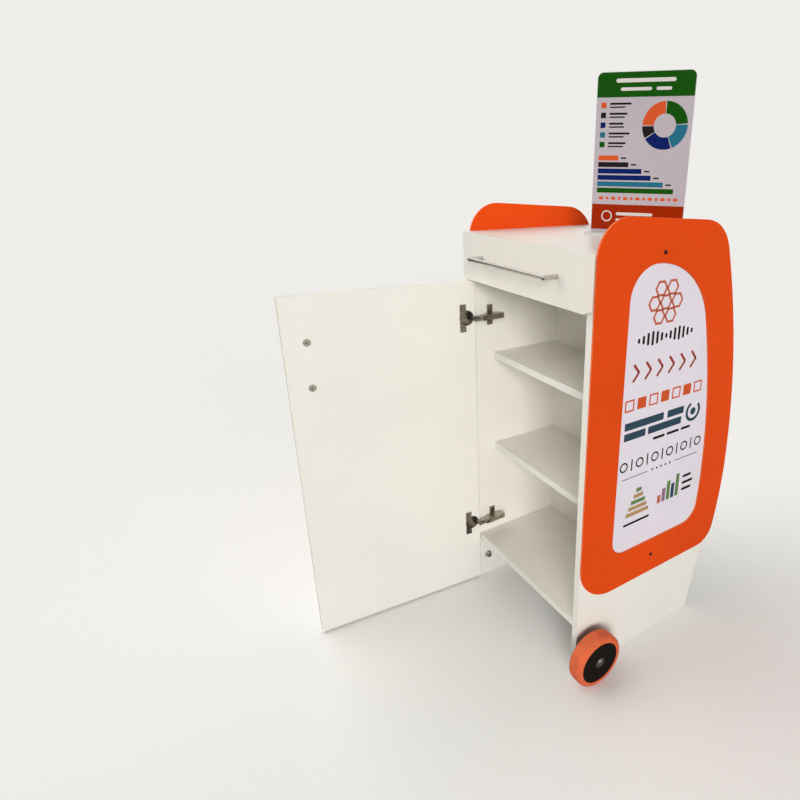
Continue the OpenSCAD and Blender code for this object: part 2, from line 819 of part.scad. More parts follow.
module arm_outline() {
  neck_y = arm_y + nose_w / 2;
  difference() {
    union() {
      translate([arm_reach - arm_w, arm_y]) square([arm_w, arm_back - arm_y]);
      translate([nose_pivot.x - nose_w / 2, nose_pivot.y]) square([nose_w, neck_y - nose_pivot.y]);
      translate(nose_pivot) circle(r = nose_w / 2);
      translate([nose_pivot.x, neck_y]) circle(r = neck_r);
    }
    translate(nose_pivot) circle(r = pin_r + pin_gap);
  }
}

// Sheet arm: two cheeks joined by a web over the mounting plate
module hinge_arms() {
  color(nickel) for (z = hinge_zs) at_hinge(z) difference() {
    union() {
      for (m = [0, 1]) mirror([0, 0, m]) layer(arm_z0, arm_z1) arm_outline();
      layer(-arm_z0 - eps, arm_z0 + eps) translate([rib_top, web_y]) square([arm_t, arm_back - web_y]);
      translate([arm_pivot.x, arm_pivot.y, 0]) cylinder(r = pin_r, h = 2 * arm_z1 - 0.2, center = true);
    }
    for (y = arm_screw_ys) translate([rib_top - over, y, 0]) rotate([0, 90, 0])
      cylinder(d = hinge_screw_d + 2 * hole_gap, h = arm_t + 2 * over);
  }
}

// Cross-shaped mounting plate with its raised rib
module hinge_plates() {
  color(nickel) for (z = hinge_zs) at_hinge(z) difference() {
    union() {
      translate([0, plate_y - wing_w / 2, -plate_pitch / 2 - wing_end])
        cube([plate_t, wing_w, plate_pitch + 2 * wing_end]);
      translate([0, plate_y - rib_front, -arm_z0 + layer_gap])
        cube([rib_top, rib_len, 2 * (arm_z0 - layer_gap)]);
    }
    for (s = [-1, 1]) translate([-over, plate_y, s * plate_pitch / 2]) rotate([0, 90, 0])
      cylinder(d = hinge_screw_d + hole_gap, h = plate_t + 2 * over);
    for (y = arm_screw_ys) translate([arm_reach - arm_screw_len - over, y, 0]) rotate([0, 90, 0])
      cylinder(d = hinge_screw_d + hole_gap, h = arm_screw_len + over);
  }
}

// Holes for the mounting plates' screws in the left-hand panel
module plate_screw_holes() {
  for (z = hinge_zs) at_hinge(z) for (s = [-1, 1])
    translate([plate_t - hinge_screw_len - over, plate_y, s * plate_pitch / 2]) rotate([0, 90, 0])
      cylinder(d = hinge_screw_d + hole_gap, h = hinge_screw_len);
}

// Screw of a hinge: its head stands on z = 0 and its shank reaches down by len
module hinge_screw(len) {
  translate([0, 0, -len]) cylinder(d = hinge_screw_d, h = len + eps);
  cylinder(d = hinge_head_d, h = hinge_head_h);
}

module plate_screws() {
  color(steel) for (z = hinge_zs) at_hinge(z) for (s = [-1, 1])
    translate([plate_t, plate_y, s * plate_pitch / 2]) rotate([0, 90, 0]) hinge_screw(hinge_screw_len);
}

module arm_screws() {
  color(steel) for (z = hinge_zs) at_hinge(z) for (y = arm_screw_ys)
    translate([arm_reach, y, 0]) rotate([0, 90, 0]) hinge_screw(arm_screw_len);
}

// Cup with its flange, and the outer link's pin across it
module hinge_cups() {
  r = cup_d / 2;
  c = in_door([cup_e, 0]);
  x_flange = c.x + cup_screw_in;
  color(nickel) at_door() for (z = hinge_zs) at_hinge(z) {
    difference() {
      union() {
        translate([c.x, c.y, 0]) rotate([90, 0, 0]) cylinder(r = r, h = cup_depth);
        translate([c.x, c.y, 0]) rotate([-90, 0, 0]) cylinder(r = r, h = flange_t);
        translate([x_flange - flange_w / 2, c.y, -flange_h / 2]) cube([flange_w, flange_t, flange_h]);
      }
      translate([c.x, c.y + flange_t + over, 0]) rotate([90, 0, 0])
        cylinder(r = r - cup_wall, h = cup_depth + flange_t + over - cup_wall);
      translate([c.x - r - over, c.y - notch_depth, -arm_z0])
        cube([cup_wall + 2 * over, notch_depth + flange_t + over, 2 * arm_z0]);
      for (s = [-1, 1]) translate([x_flange, c.y - over, s * cup_pitch / 2]) rotate([-90, 0, 0])
        cylinder(d = hinge_screw_d + hole_gap, h = flange_t + 2 * over);
    }
    intersection() {
      translate([cup_pivot_shut.x, cup_pivot_shut.y, -r]) cylinder(r = pin_r, h = 2 * r);
      translate([c.x, c.y, 0]) rotate([90, 0, 0]) cylinder(r = r - cup_wall / 2, h = cup_depth);
    }
  }
}

module cup_screws() {
  p = in_door([cup_e + cup_screw_in, -flange_t]);
  color(steel) at_door() for (z = hinge_zs) at_hinge(z) for (s = [-1, 1])
    translate([p.x, p.y, s * cup_pitch / 2]) rotate([-90, 0, 0]) hinge_screw(hinge_screw_len);
}

// Door with its handle, drawn shut and swung open
door_w = body_w - 2 * door_side_gap;
door_left = door_hinge_x - inner_w;
door_handle_x = door_left + door_w - door_handle_in;

module door_panel() {
  c = in_door([cup_e, 0]);
  color(white) at_door() difference() {
    translate([door_left, front_face_y, door_z]) cube([door_w, panel_t, door_top - door_z]);
    for (z = hinge_zs) at_hinge(z) {
      translate([c.x, c.y - cup_depth - hole_gap / 2, 0]) rotate([-90, 0, 0])
        cylinder(d = cup_d + hole_gap, h = cup_depth + over);
      for (s = [-1, 1]) translate([c.x + cup_screw_in, c.y - hinge_screw_len, s * cup_pitch / 2])
        rotate([-90, 0, 0]) cylinder(d = hinge_screw_d + hole_gap, h = hinge_screw_len + over);
    }
    for (s = [-1, 1])
      translate([door_handle_x, front_face_y - over, door_handle_z + s * door_handle_h / 2])
        rotate([-90, 0, 0]) cylinder(d = handle_screw_d + hole_gap, h = panel_t + 2 * over);
  }
}

module door_handle() {
  color(steel) at_door() translate([door_handle_x, front_face_y, door_handle_z]) rotate([0, 90, 0])
    bar_handle(door_handle_h);
}

module door_handle_screws() {
  color(steel) at_door() translate([door_handle_x, front_face_y, door_handle_z]) rotate([0, 90, 0])
    bar_handle_screws(door_handle_h, panel_t);
}

// Wheels on bolts through the side panels
wheel_x = half_w + spacer_len + 2 * wheel_side_gap;

module spun(x0) {
  translate([x0, axle_y, wheel_r]) rotate([0, 90, 0]) rotate_extrude(convexity = 4) children();
}

// Tyre's section: radius along X, width along Y
module tyre_section() {
  difference() {
    translate([hub_r, 0]) square([wheel_r - hub_r, tyre_w]);
    corner_cut([wheel_r, 0], [-1, 0], [0, 1], tyre_round);
    corner_cut([wheel_r, tyre_w], [-1, 0], [0, -1], tyre_round);
  }
}

module tyre(side) {
  color(orange) on_side(side) spun(wheel_x) tyre_section();
}

// Hub: rim, outer disc, boss and ribs behind the disc
module hub(side) {
  w = tyre_w - 2 * hub_inset;
  disc_x = hub_inset + w - hub_disc_t;
  color(dark) on_side(side) difference() {
    union() {
      spun(wheel_x) {
        translate([hub_r - hub_rim_t, hub_inset]) square([hub_rim_t, w]);
        translate([0, disc_x]) square([hub_r - hub_rim_t / 2, hub_disc_t]);
        square([hub_boss_r, disc_x + hub_disc_t / 2]);
      }
      for (a = [0:60:300]) translate([wheel_x + hub_rim_t, axle_y, wheel_r]) rotate([a, 0, 0])
        translate([0, hub_boss_r - over, -hub_rib_t / 2])
          cube([disc_x + hub_disc_t / 2 - hub_rim_t, hub_r - hub_rim_t / 2 - hub_boss_r + over, hub_rib_t]);
    }
    translate([wheel_x - over, axle_y, wheel_r]) rotate([0, 90, 0])
      cylinder(d = axle_d + 2 * axle_gap, h = tyre_w + 2 * over);
  }
}

// Bolt: domed head outside the hub, shank through hub, spacer, panel and nut
bolt_head_x = wheel_x + tyre_w - hub_inset + wheel_side_gap;
bolt_head_h = axle_d / 2;

module axle_bolt(side) {
  x_end = inner_w - bolt_end;
  color(steel) on_side(side) translate([x_end, axle_y, wheel_r]) rotate([0, 90, 0]) {
    cylinder(d = axle_d, h = bolt_head_x - x_end + eps);
    translate([0, 0, bolt_head_x - x_end]) intersection() {
      cylinder(d = 2 * axle_d, h = bolt_head_h);
      translate([0, 0, bolt_head_h - 1.4 * axle_d]) sphere(r = 1.4 * axle_d);
    }
  }
}

module axle_spacers() {
  color(steel) for (side = [-1, 1]) on_side(side) translate([half_w + eps, axle_y, wheel_r])
    rotate([0, 90, 0]) difference() {
      cylinder(d = spacer_d, h = spacer_len);
      translate([0, 0, -over]) cylinder(d = axle_d + hole_gap, h = spacer_len + 2 * over);
    }
}

// Washer and six-sided nut on the panel's inner face
module axle_nuts() {
  color(steel) for (side = [-1, 1]) on_side(side) translate([inner_w, axle_y, wheel_r])
    rotate([0, -90, 0]) difference() {
      union() {
        cylinder(d = 2.2 * axle_d, h = washer_t);
        cylinder(d = 1.9 * axle_d, h = washer_t + 0.8 * axle_d, $fn = 6);
      }
      translate([0, 0, -over]) cylinder(d = axle_d + hole_gap, h = 2 * axle_d);
    }
}

// Sign board, standing in the slot of its foot plate
module at_sign() {
  translate([sign_at.x, sign_at.y, top_z]) rotate(sign_turn) children();
}

module sign_board() {
  color([0.7, 0.72, 0.74]) at_sign() translate([0, sign_t / 2, foot_t - slot_depth]) rotate([90, 0, 0])
    linear_extrude(sign_t) difference() {
      translate([-sign_w / 2, 0]) square([sign_w, sign_h]);
      for (s = [-1, 1]) corner_cut([s * sign_w / 2, sign_h], [-s, 0], [0, -1], sign_r);
    }
}

module sign_foot() {
  color([0.9, 0.92, 0.92, 0.8]) at_sign() difference() {
    linear_extrude(foot_t) difference() {
      translate([-foot_w / 2, -foot_front]) square([foot_w, foot_front + foot_back]);
      for (s = [-1, 1]) {
        corner_cut([s * foot_w / 2, -foot_front], [-s, 0], [0, 1], foot_r);
        corner_cut([s * foot_w / 2, foot_back], [-s, 0], [0, -1], foot_r);
      }
    }
    translate([-sign_w / 2 - slot_gap, -sign_t / 2 - slot_gap, foot_t - slot_depth])
      cube([sign_w + 2 * slot_gap, sign_t + 2 * slot_gap, slot_depth + over]);
  }
}

// Middle of the standing cart's outer box, which is put over the origin
handle_far = door_to_world([door_handle_x + inner_w, front_face_y + bar_d / 2 - handle_reach]);
x_min = handle_far.x - inner_w - bar_d / 2;
x_max = bolt_head_x + bolt_head_h;
y_min = door_to_world([door_hinge_x + door_w, -front_gap]).y;
y_max = bow_y + overlay_reach;

module placed() {
  translate([-(x_min + x_max) / 2, -(y_min + y_max) / 2, 0]) children();
}

placed() side_panel(-1);  // side_panel_left
placed() side_panel(1);  // side_panel_right
placed() top_board();
placed() bottom_board();
placed() divider();
placed() plinth();
placed() storage_shelf(0);  // storage_shelf_lower
placed() storage_shelf(1);  // storage_shelf_upper
placed() display_shelf(0);  // display_shelf_lower
placed() display_shelf(1);  // display_shelf_upper
placed() shield();
placed() edge_studs();
placed() overlay(-1);  // overlay_left
placed() overlay(1);  // overlay_right
placed() insert(-1);  // insert_left
placed() insert(1);  // insert_right
placed() overlay_screws();
placed() runner_channel(-1);  // runner_channel_left
placed() runner_channel(1);  // runner_channel_right
placed() runner_slide(-1);  // runner_slide_left
placed() runner_slide(1);  // runner_slide_right
placed() drawer_front();
placed() drawer_side(-1);  // drawer_side_left
placed() drawer_side(1);  // drawer_side_right
placed() drawer_back();
placed() drawer_bottom();
placed() drawer_handle();
placed() drawer_handle_screws();
placed() door_panel();
placed() hinge_cups();
placed() cup_screws();
placed() door_handle();
placed() door_handle_screws();
placed() outer_links();
placed() inner_links();
placed() hinge_arms();
placed() hinge_plates();
placed() plate_screws();
placed() arm_screws();
placed() tyre(-1);  // tyre_left
placed() tyre(1);  // tyre_right
placed() hub(-1);  // hub_left
placed() hub(1);  // hub_right
placed() axle_bolt(-1);  // axle_bolt_left
placed() axle_bolt(1);  // axle_bolt_right
placed() axle_spacers();
placed() axle_nuts();
placed() sign_board();
placed() sign_foot();
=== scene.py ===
"""Looks of the promotional display cart: materials for the boards, sheets, metal and wheels, the
printed designs, small fittings, and the studio round it. Lengths are metres in the CAD frame."""

import math

import bmesh
import bpy
from bpy.props import FloatProperty, FloatVectorProperty, PointerProperty
from mathutils import Matrix, Vector


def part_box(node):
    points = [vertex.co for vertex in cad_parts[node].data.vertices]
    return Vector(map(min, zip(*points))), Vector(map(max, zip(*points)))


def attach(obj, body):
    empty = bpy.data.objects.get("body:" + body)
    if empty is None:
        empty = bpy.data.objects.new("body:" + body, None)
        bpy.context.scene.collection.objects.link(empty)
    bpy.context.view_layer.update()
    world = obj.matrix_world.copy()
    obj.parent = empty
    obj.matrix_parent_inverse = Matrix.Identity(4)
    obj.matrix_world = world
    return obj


bl_info = {
    "name": "Promotional display cart",
    "version": (1, 0, 0),
    "blender": (4, 5, 0),
    "location": "3D View > Sidebar > Cart",
    "description": "Dresses the cart's solids with materials, prints and fittings",
    "category": "Object",
}

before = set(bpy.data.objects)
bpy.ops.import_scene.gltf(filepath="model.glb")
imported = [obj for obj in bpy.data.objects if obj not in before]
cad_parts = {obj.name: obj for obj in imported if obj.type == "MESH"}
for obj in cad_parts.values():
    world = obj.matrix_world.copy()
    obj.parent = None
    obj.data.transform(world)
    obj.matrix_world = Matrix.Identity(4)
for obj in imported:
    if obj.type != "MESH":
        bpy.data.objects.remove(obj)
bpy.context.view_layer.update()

MM = 0.001
SINK = 0.00003  # how far inside the face it lies on a print, mark or collar starts
COLLAR_BORE = 0.0085  # inner radius of the collar, which clears the bolt's head
SIGN_MARGIN = 0.0008  # bare strip along the sign board's edges

top_low, top_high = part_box("top_board")
MID_X = (top_low[0] + top_high[0]) / 2
FRONT_Y = top_low[1]


# Node helpers


def linear(colour):
    """Screen colour, 0 to 1, as the linear colour that a socket takes."""
    return [c / 12.92 if c <= 0.04045 else ((c + 0.055) / 1.055) ** 2.4 for c in colour[:3]] + [1.0]


def shaded(colour, share):
    """A screen colour made darker."""
    return [c * share for c in colour]


def set_inputs(made, values):
    """Sets a node's inputs by name, with _ for a space."""
    for name, value in values.items():
        made.inputs[name.replace("_", " ")].default_value = value
    return made


def node(tree, kind, **values):
    """A new node with its inputs set."""
    return set_inputs(tree.nodes.new(kind), values)


def wire(tree, source, target):
    tree.links.new(source, target)


def feed(tree, target, value):
    """Links a socket's value in, or sets a plain one."""
    if hasattr(value, "default_value"):
        tree.links.new(value, target)
    else:
        target.default_value = value


def maths(tree, kind, a, b=0.5, clamp=False):
    made = tree.nodes.new("ShaderNodeMath")
    made.operation = kind
    made.use_clamp = clamp
    for socket, value in zip(made.inputs, (a, b)):
        feed(tree, socket, value)
    return made.outputs[0]


def vector_maths(tree, kind, *values):
    made = tree.nodes.new("ShaderNodeVectorMath")
    made.operation = kind
    for socket, value in zip(made.inputs, values):
        feed(tree, socket, value)
    return made.outputs["Value" if kind in ("DOT_PRODUCT", "LENGTH") else "Vector"]


def blended(tree, amount, a, b):
    """Colour a turned towards b by amount; each may be a socket or a colour."""
    made = tree.nodes.new("ShaderNodeMix")
    made.data_type = "RGBA"
    for socket, value in ((made.inputs[0], amount), (made.inputs[6], a), (made.inputs[7], b)):
        feed(tree, socket, value)
    return made.outputs[2]


def spread(tree, value, low, high, to_low=0.0, to_high=1.0):
    """A value stretched from low..high to to_low..to_high, and kept within them."""
    made = node(
        tree, "ShaderNodeMapRange", From_Min=low, From_Max=high, To_Min=to_low, To_Max=to_high)
    wire(tree, value, made.inputs["Value"])
    return made.outputs[0]


def noise(tree, point, scale, detail, rough=0.5):
    """Noise from 0 to 1; scale may be a socket or a number."""
    made = node(tree, "ShaderNodeTexNoise", Detail=detail, Roughness=rough)
    wire(tree, point, made.inputs["Vector"])
    feed(tree, made.inputs["Scale"], scale)
    return made.outputs["Fac"]


def true_normal(tree):
    return tree.nodes.new("ShaderNodeNewGeometry").outputs["True Normal"]


def split(tree, vector):
    """The sockets X, Y and Z of a vector."""
    made = tree.nodes.new("ShaderNodeSeparateXYZ")
    wire(tree, vector, made.inputs[0])
    return made.outputs


def rounded_normal(tree, radius):
    """The surface's normal as if its edges were rounded."""
    made = tree.nodes.new("ShaderNodeBevel")
    made.samples = 4
    feed(tree, made.inputs["Radius"], radius)
    return made.outputs["Normal"]


# Shared shader groups: each fill function wires the inside of one


def fill_mottle(tree, start, end):
    """Soft cloudy change over a surface, with a second, finer cloud."""
    for label, detail in (("Cloud", 3.0), ("Fine", 2.0)):
        cloud = noise(tree, start["Point"], start[label + " Scale"], detail, 0.55)
        wire(tree, spread(tree, cloud, 0.32, 0.68), end[label])


def fill_edge_rub(tree, start, end):
    """Where a surface is close to an edge, broken up by noise."""
    flat = vector_maths(tree, "DOT_PRODUCT", rounded_normal(tree, start["Width"]), true_normal(tree))
    near = spread(tree, flat, 0.995, 0.8)
    patches = spread(tree, noise(tree, start["Point"], start["Patch Scale"], 3.0, 0.6), 0.42, 0.66)
    wire(tree, maths(tree, "MULTIPLY", near, patches, True), end["Mask"])


def fill_scuffs(tree, start, end):
    """Sparse fine scuffs: thin stretched streaks that show only in patches."""
    turned = node(tree, "ShaderNodeMapping", Rotation=(0.4, 0.7, 0.3), Scale=(1.0, 14.0, 6.0))
    wire(tree, start["Point"], turned.inputs["Vector"])
    lines = spread(tree, noise(tree, turned.outputs["Vector"], start["Scale"], 2.0), 0.64, 0.74)
    where = spread(tree, noise(tree, start["Point"], 5.0, 2.0), 0.5, 0.64)
    wire(tree, maths(tree, "MULTIPLY", lines, where, True), end["Mask"])


def fill_dust(tree, start, end):
    """Dust that lies on faces turned up."""
    surface = tree.nodes.new("ShaderNodeNewGeometry")
    up = spread(tree, split(tree, surface.outputs["Normal"])["Z"], 0.6, 1.0)
    grains = noise(tree, start["Point"], start["Scale"], 5.0, 0.65)
    wire(tree, maths(tree, "MULTIPLY", up, grains, True), end["Mask"])


def fill_brush_lines(tree, start, end):
    """Fine straight brush lines along the axis in which the point is stretched."""
    lines = noise(tree, start["Point"], start["Scale"], 2.0, 0.6)
    wire(tree, spread(tree, lines, 0.35, 0.65), end["Lines"])


def fill_turned_rings(tree, start, end):
    """Fine rings round an axle along X, as a mould or a lathe leaves them."""
    away = vector_maths(tree, "SUBTRACT", start["Point"], start["Axle"])
    radius = vector_maths(tree, "LENGTH", vector_maths(tree, "MULTIPLY", away, (0.0, 1.0, 1.0)))
    turns = maths(tree, "DIVIDE", radius, start["Pitch"])
    wave = maths(tree, "SINE", maths(tree, "MULTIPLY", turns, 2 * math.pi))
    wire(tree, spread(tree, wave, -1.0, 1.0), end["Rings"])
    wire(tree, radius, end["Radius"])


# Each group's fill function, its inputs beside Point with their defaults, and its outputs
GROUPS = {
    "Mottle": (fill_mottle, {"Cloud Scale": 6.0, "Fine Scale": 60.0}, ("Cloud", "Fine")),
    "Edge Rub": (fill_edge_rub, {"Width": 0.001, "Patch Scale": 40.0}, ("Mask",)),
    "Scuffs": (fill_scuffs, {"Scale": 18.0}, ("Mask",)),
    "Dust": (fill_dust, {"Scale": 25.0}, ("Mask",)),
    "Brush Lines": (fill_brush_lines, {"Scale": 900.0}, ("Lines",)),
    "Turned Rings": (
        fill_turned_rings, {"Axle": (0.0, 0.0, 0.0), "Pitch": 0.001}, ("Rings", "Radius")),
}


def shared_group(name):
    """The shader node group called name, built the first time that it is wanted."""
    tree = bpy.data.node_groups.get(name)
    if tree is None:
        fill, inputs, outputs = GROUPS[name]
        tree = bpy.data.node_groups.new(name, "ShaderNodeTree")
        tree.interface.new_socket("Point", in_out="INPUT", socket_type="NodeSocketVector")
        for label, value in inputs.items():
            kind = "NodeSocketFloat" if isinstance(value, float) else "NodeSocketVector"
            socket = tree.interface.new_socket(label, in_out="INPUT", socket_type=kind)
            socket.default_value = value
        for label in outputs:
            tree.interface.new_socket(label, in_out="OUTPUT", socket_type="NodeSocketFloat")
        start, end = tree.nodes.new("NodeGroupInput"), tree.nodes.new("NodeGroupOutput")
        fill(tree, start.outputs, end.inputs)
    return tree


def grouped(tree, name, point, **values):
    """The outputs of a shared group placed in a material with its own values."""
    made = tree.nodes.new("ShaderNodeGroup")
    made.node_tree = shared_group(name)
    wire(tree, point, made.inputs["Point"])
    return set_inputs(made, values).outputs


# Materials


def start_material(name, **values):
    """A material with its Principled shader, and the socket of the piece's own coordinates."""
    made = bpy.data.materials.new(name + "_finish")
    made.use_nodes = True
    tree = made.node_tree
    shader = set_inputs(tree.nodes["Principled BSDF"], values)
    point = tree.nodes.new("ShaderNodeTexCoord").outputs["Object"]
    return made, tree, shader, point


def paint(tree, shader, colour, *washes):
    """Feeds the shader's colour; each wash is a mask, its share and the screen colour it adds."""
    tone = linear(colour)
    for mask, share, wash in washes:
        tone = blended(tree, maths(tree, "MULTIPLY", mask, share), tone, linear(wash))
    wire(tree, tone, shader.inputs["Base Color"])


def roughen(tree, shader, least, *parts):
    """Feeds the shader's roughness: the least there is, and each mask times its share."""
    rough = least
    for mask, share in parts:
        rough = maths(tree, "ADD", maths(tree, "MULTIPLY", mask, share), rough)
    wire(tree, rough, shader.inputs["Roughness"])


def bump(tree, shader, height, distance, strength, soft_edge=0.0):
    """Feeds a height into the shader's normal, over edges rounded by soft_edge."""
    made = node(tree, "ShaderNodeBump", Strength=strength, Distance=distance)
    wire(tree, height, made.inputs["Height"])
    if soft_edge:
        wire(tree, rounded_normal(tree, soft_edge), made.inputs["Normal"])
    wire(tree, made.outputs["Normal"], shader.inputs["Normal"])


def board_material(name, colour, gloss, wear):
    """White melamine: a faint orange-peel skin, clouds, dust on top and rubbed edges."""
    made, tree, shader, point = start_material(name, IOR=1.5, Specular_IOR_Level=0.35)
    clouds = grouped(tree, "Mottle", point, Cloud_Scale=3.5, Fine_Scale=420.0)
    dust = grouped(tree, "Dust", point, Scale=14.0)
    rub = grouped(tree, "Edge Rub", point, Width=0.0011, Patch_Scale=30.0)
    scuffs = grouped(tree, "Scuffs", point, Scale=14.0)
    paint(
        tree, shader, colour, (clouds["Cloud"], 0.5, shaded(colour, 0.955)),
        (dust["Mask"], 0.16, (0.72, 0.69, 0.63)), (rub["Mask"], wear, (0.56, 0.52, 0.46)),
        (scuffs["Mask"], 0.12, (0.55, 0.53, 0.5)))
    roughen(tree, shader, gloss, (clouds["Cloud"], 0.09), (scuffs["Mask"], 0.15))
    bump(tree, shader, clouds["Fine"], 0.00006, 0.5, 0.0006)
    return made


def sheet_material(name, look):
    """Coloured sheet: satin face, a paler sawn edge, and light rubbing at the corners."""
    made, tree, shader, point = start_material(name, IOR=1.49, Specular_IOR_Level=0.12)
    clouds = grouped(tree, "Mottle", point, Cloud_Scale=4.0, Fine_Scale=700.0)
    rub = grouped(tree, "Edge Rub", point, Width=0.0008, Patch_Scale=60.0)
    scuffs = grouped(tree, "Scuffs", point, Scale=16.0)
    sideways = maths(tree, "ABSOLUTE", split(tree, true_normal(tree))["X"])
    on_edge = spread(tree, sideways, 0.6, 0.4)
    paint(
        tree, shader, look.face_colour, (clouds["Cloud"], 0.6, shaded(look.face_colour, 0.93)),
        (on_edge, 0.75, look.edge_colour), (rub["Mask"], 0.35, (0.96, 0.62, 0.45)),
        (scuffs["Mask"], 0.18, (0.93, 0.55, 0.4)))
    roughen(tree, shader, look.gloss, (clouds["Cloud"], 0.08), (on_edge, 0.15))
    bump(tree, shader, clouds["Fine"], 0.00004, 0.4, 0.0005)
    return made


def print_material(name, colour, gloss=0.22, turn=None):
    """Printed film: smooth, slightly uneven gloss, faint long waves from being laid by hand.
    Where a turn about Z is given, only the side that looks that way has the colour; the others are
    the bare white board."""
    made, tree, shader, point = start_material(name, IOR=1.5, Specular_IOR_Level=0.14)
    clouds = grouped(tree, "Mottle", point, Cloud_Scale=7.0, Fine_Scale=900.0)
    scuffs = grouped(tree, "Scuffs", point, Scale=22.0)
    washes = [(clouds["Cloud"], 0.5, shaded(colour, 0.965))]
    if turn is not None:
        ahead = (math.sin(turn), -math.cos(turn), 0.0)
        facing = vector_maths(tree, "DOT_PRODUCT", true_normal(tree), ahead)
        washes.append((spread(tree, facing, 0.6, 0.4), 1.0, (0.93, 0.925, 0.91)))
    paint(tree, shader, colour, *washes, (scuffs["Mask"], 0.08, (0.6, 0.58, 0.6)))
    roughen(tree, shader, gloss, (clouds["Cloud"], 0.08))
    bump(tree, shader, clouds["Cloud"], 0.0002, 0.35)
    return made


def clear_material(name):
    """Clear acrylic with a faint haze of handling marks."""
    made, tree, shader, point = start_material(
        name, IOR=1.49, Transmission_Weight=1.0, Base_Color=linear((0.988, 0.993, 0.994)))
    clouds = grouped(tree, "Mottle", point, Cloud_Scale=9.0, Fine_Scale=300.0)
    scuffs = grouped(tree, "Scuffs", point, Scale=20.0)
    roughen(tree, shader, 0.02, (clouds["Cloud"], 0.03), (scuffs["Mask"], 0.12))
    bump(tree, shader, clouds["Cloud"], 0.0003, 0.2)
    return made


def steel_material(name, colour, stretch, rough):
    """Brushed or plated metal; stretch gives the brush lines' direction and fineness."""
    made, tree, shader, point = start_material(name, Metallic=1.0)
    stretched = node(tree, "ShaderNodeMapping", Scale=stretch)
    wire(tree, point, stretched.inputs["Vector"])
    lines = grouped(tree, "Brush Lines", stretched.outputs["Vector"], Scale=1000.0)
    clouds = grouped(tree, "Mottle", point, Cloud_Scale=30.0, Fine_Scale=500.0)
    dark = shaded(colour, 0.8)
    paint(tree, shader, colour, (lines["Lines"], 0.5, dark), (clouds["Cloud"], 0.3, dark))
    roughen(tree, shader, rough, (lines["Lines"], 0.12), (clouds["Cloud"], 0.08))
    bump(tree, shader, lines["Lines"], 0.00003, 0.5, 0.0003)
    return made


def plain_material(name, colour, rough=0.35, fine_scale=900.0, height=0.00003):
    """Dull or blackened metal: fine grain, clouds, dust and rubbed edges."""
    made, tree, shader, point = start_material(name, IOR=1.5, Specular_IOR_Level=0.25)
    clouds = grouped(tree, "Mottle", point, Cloud_Scale=35.0, Fine_Scale=fine_scale)
    rub = grouped(tree, "Edge Rub", point, Width=0.0008, Patch_Scale=90.0)
    dust = grouped(tree, "Dust", point, Scale=60.0)
    paint(
        tree, shader, colour, (clouds["Cloud"], 1.0, shaded(colour, 0.86)),
        (rub["Mask"], 0.25, (0.5, 0.48, 0.46)), (dust["Mask"], 0.2, (0.55, 0.52, 0.48)))
    roughen(tree, shader, rough, (clouds["Cloud"], 0.15))
    bump(tree, shader, clouds["Fine"], height, 0.6, 0.0004)
    return made


def wheel_material(name, colour, rough, pitch, depth, soil_colour, soil):
    """Wheel rubber or plastic: mould rings round the axle, and floor dirt that grows outwards."""
    made, tree, shader, point = start_material(name, IOR=1.5, Specular_IOR_Level=0.16)
    low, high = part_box("tyre_left")
    axle = (0.0, (low[1] + high[1]) / 2, (low[2] + high[2]) / 2)
    rings = grouped(tree, "Turned Rings", point, Axle=axle, Pitch=pitch)
    clouds = grouped(tree, "Mottle", point, Cloud_Scale=38.0, Fine_Scale=650.0)
    rub = grouped(tree, "Edge Rub", point, Width=0.0009, Patch_Scale=70.0)
    clean_radius, tread_radius = 0.045, 0.0605
    outer = spread(tree, rings["Radius"], clean_radius, tread_radius)
    dirt = maths(tree, "MULTIPLY", maths(tree, "MULTIPLY", outer, clouds["Cloud"]), soil)
    rubbed = [min(1.0, c * 1.25 + 0.06) for c in colour]
    paint(
        tree, shader, colour, (clouds["Cloud"], 0.5, shaded(colour, 0.93)),
        (dirt, 1.0, soil_colour), (rub["Mask"], 0.3, rubbed))
    roughen(tree, shader, rough, (clouds["Cloud"], 0.14), (dirt, 0.2))
    height = maths(
        tree, "ADD", maths(tree, "MULTIPLY", rings["Rings"], 0.6),
        maths(tree, "MULTIPLY", clouds["Fine"], 0.5))
    bump(tree, shader, height, depth, 0.5, 0.0005)
    return made


INKS = {
    "terracotta": (0.76, 0.4, 0.29),
    "charcoal": (0.13, 0.115, 0.125),
    "wine": (0.62, 0.27, 0.21),
    "coral": (0.82, 0.34, 0.17),
    "slate": (0.2, 0.29, 0.35),
    "sand": (0.7, 0.58, 0.4),
    "moss": (0.4, 0.52, 0.32),
    "mauve": (0.57, 0.42, 0.53),
    "green": (0.08, 0.31, 0.04),
    "brick": (0.6, 0.15, 0.01),
    "pale": (0.84, 0.82, 0.81),
    "teal": (0.14, 0.42, 0.52),
    "navy": (0.05, 0.12, 0.38),
}
# The inks' places in a print's material slots
(TERRACOTTA, CHARCOAL, WINE, CORAL, SLATE, SAND, MOSS,
 MAUVE, GREEN, BRICK, PALE, TEAL, NAVY) = range(len(INKS))


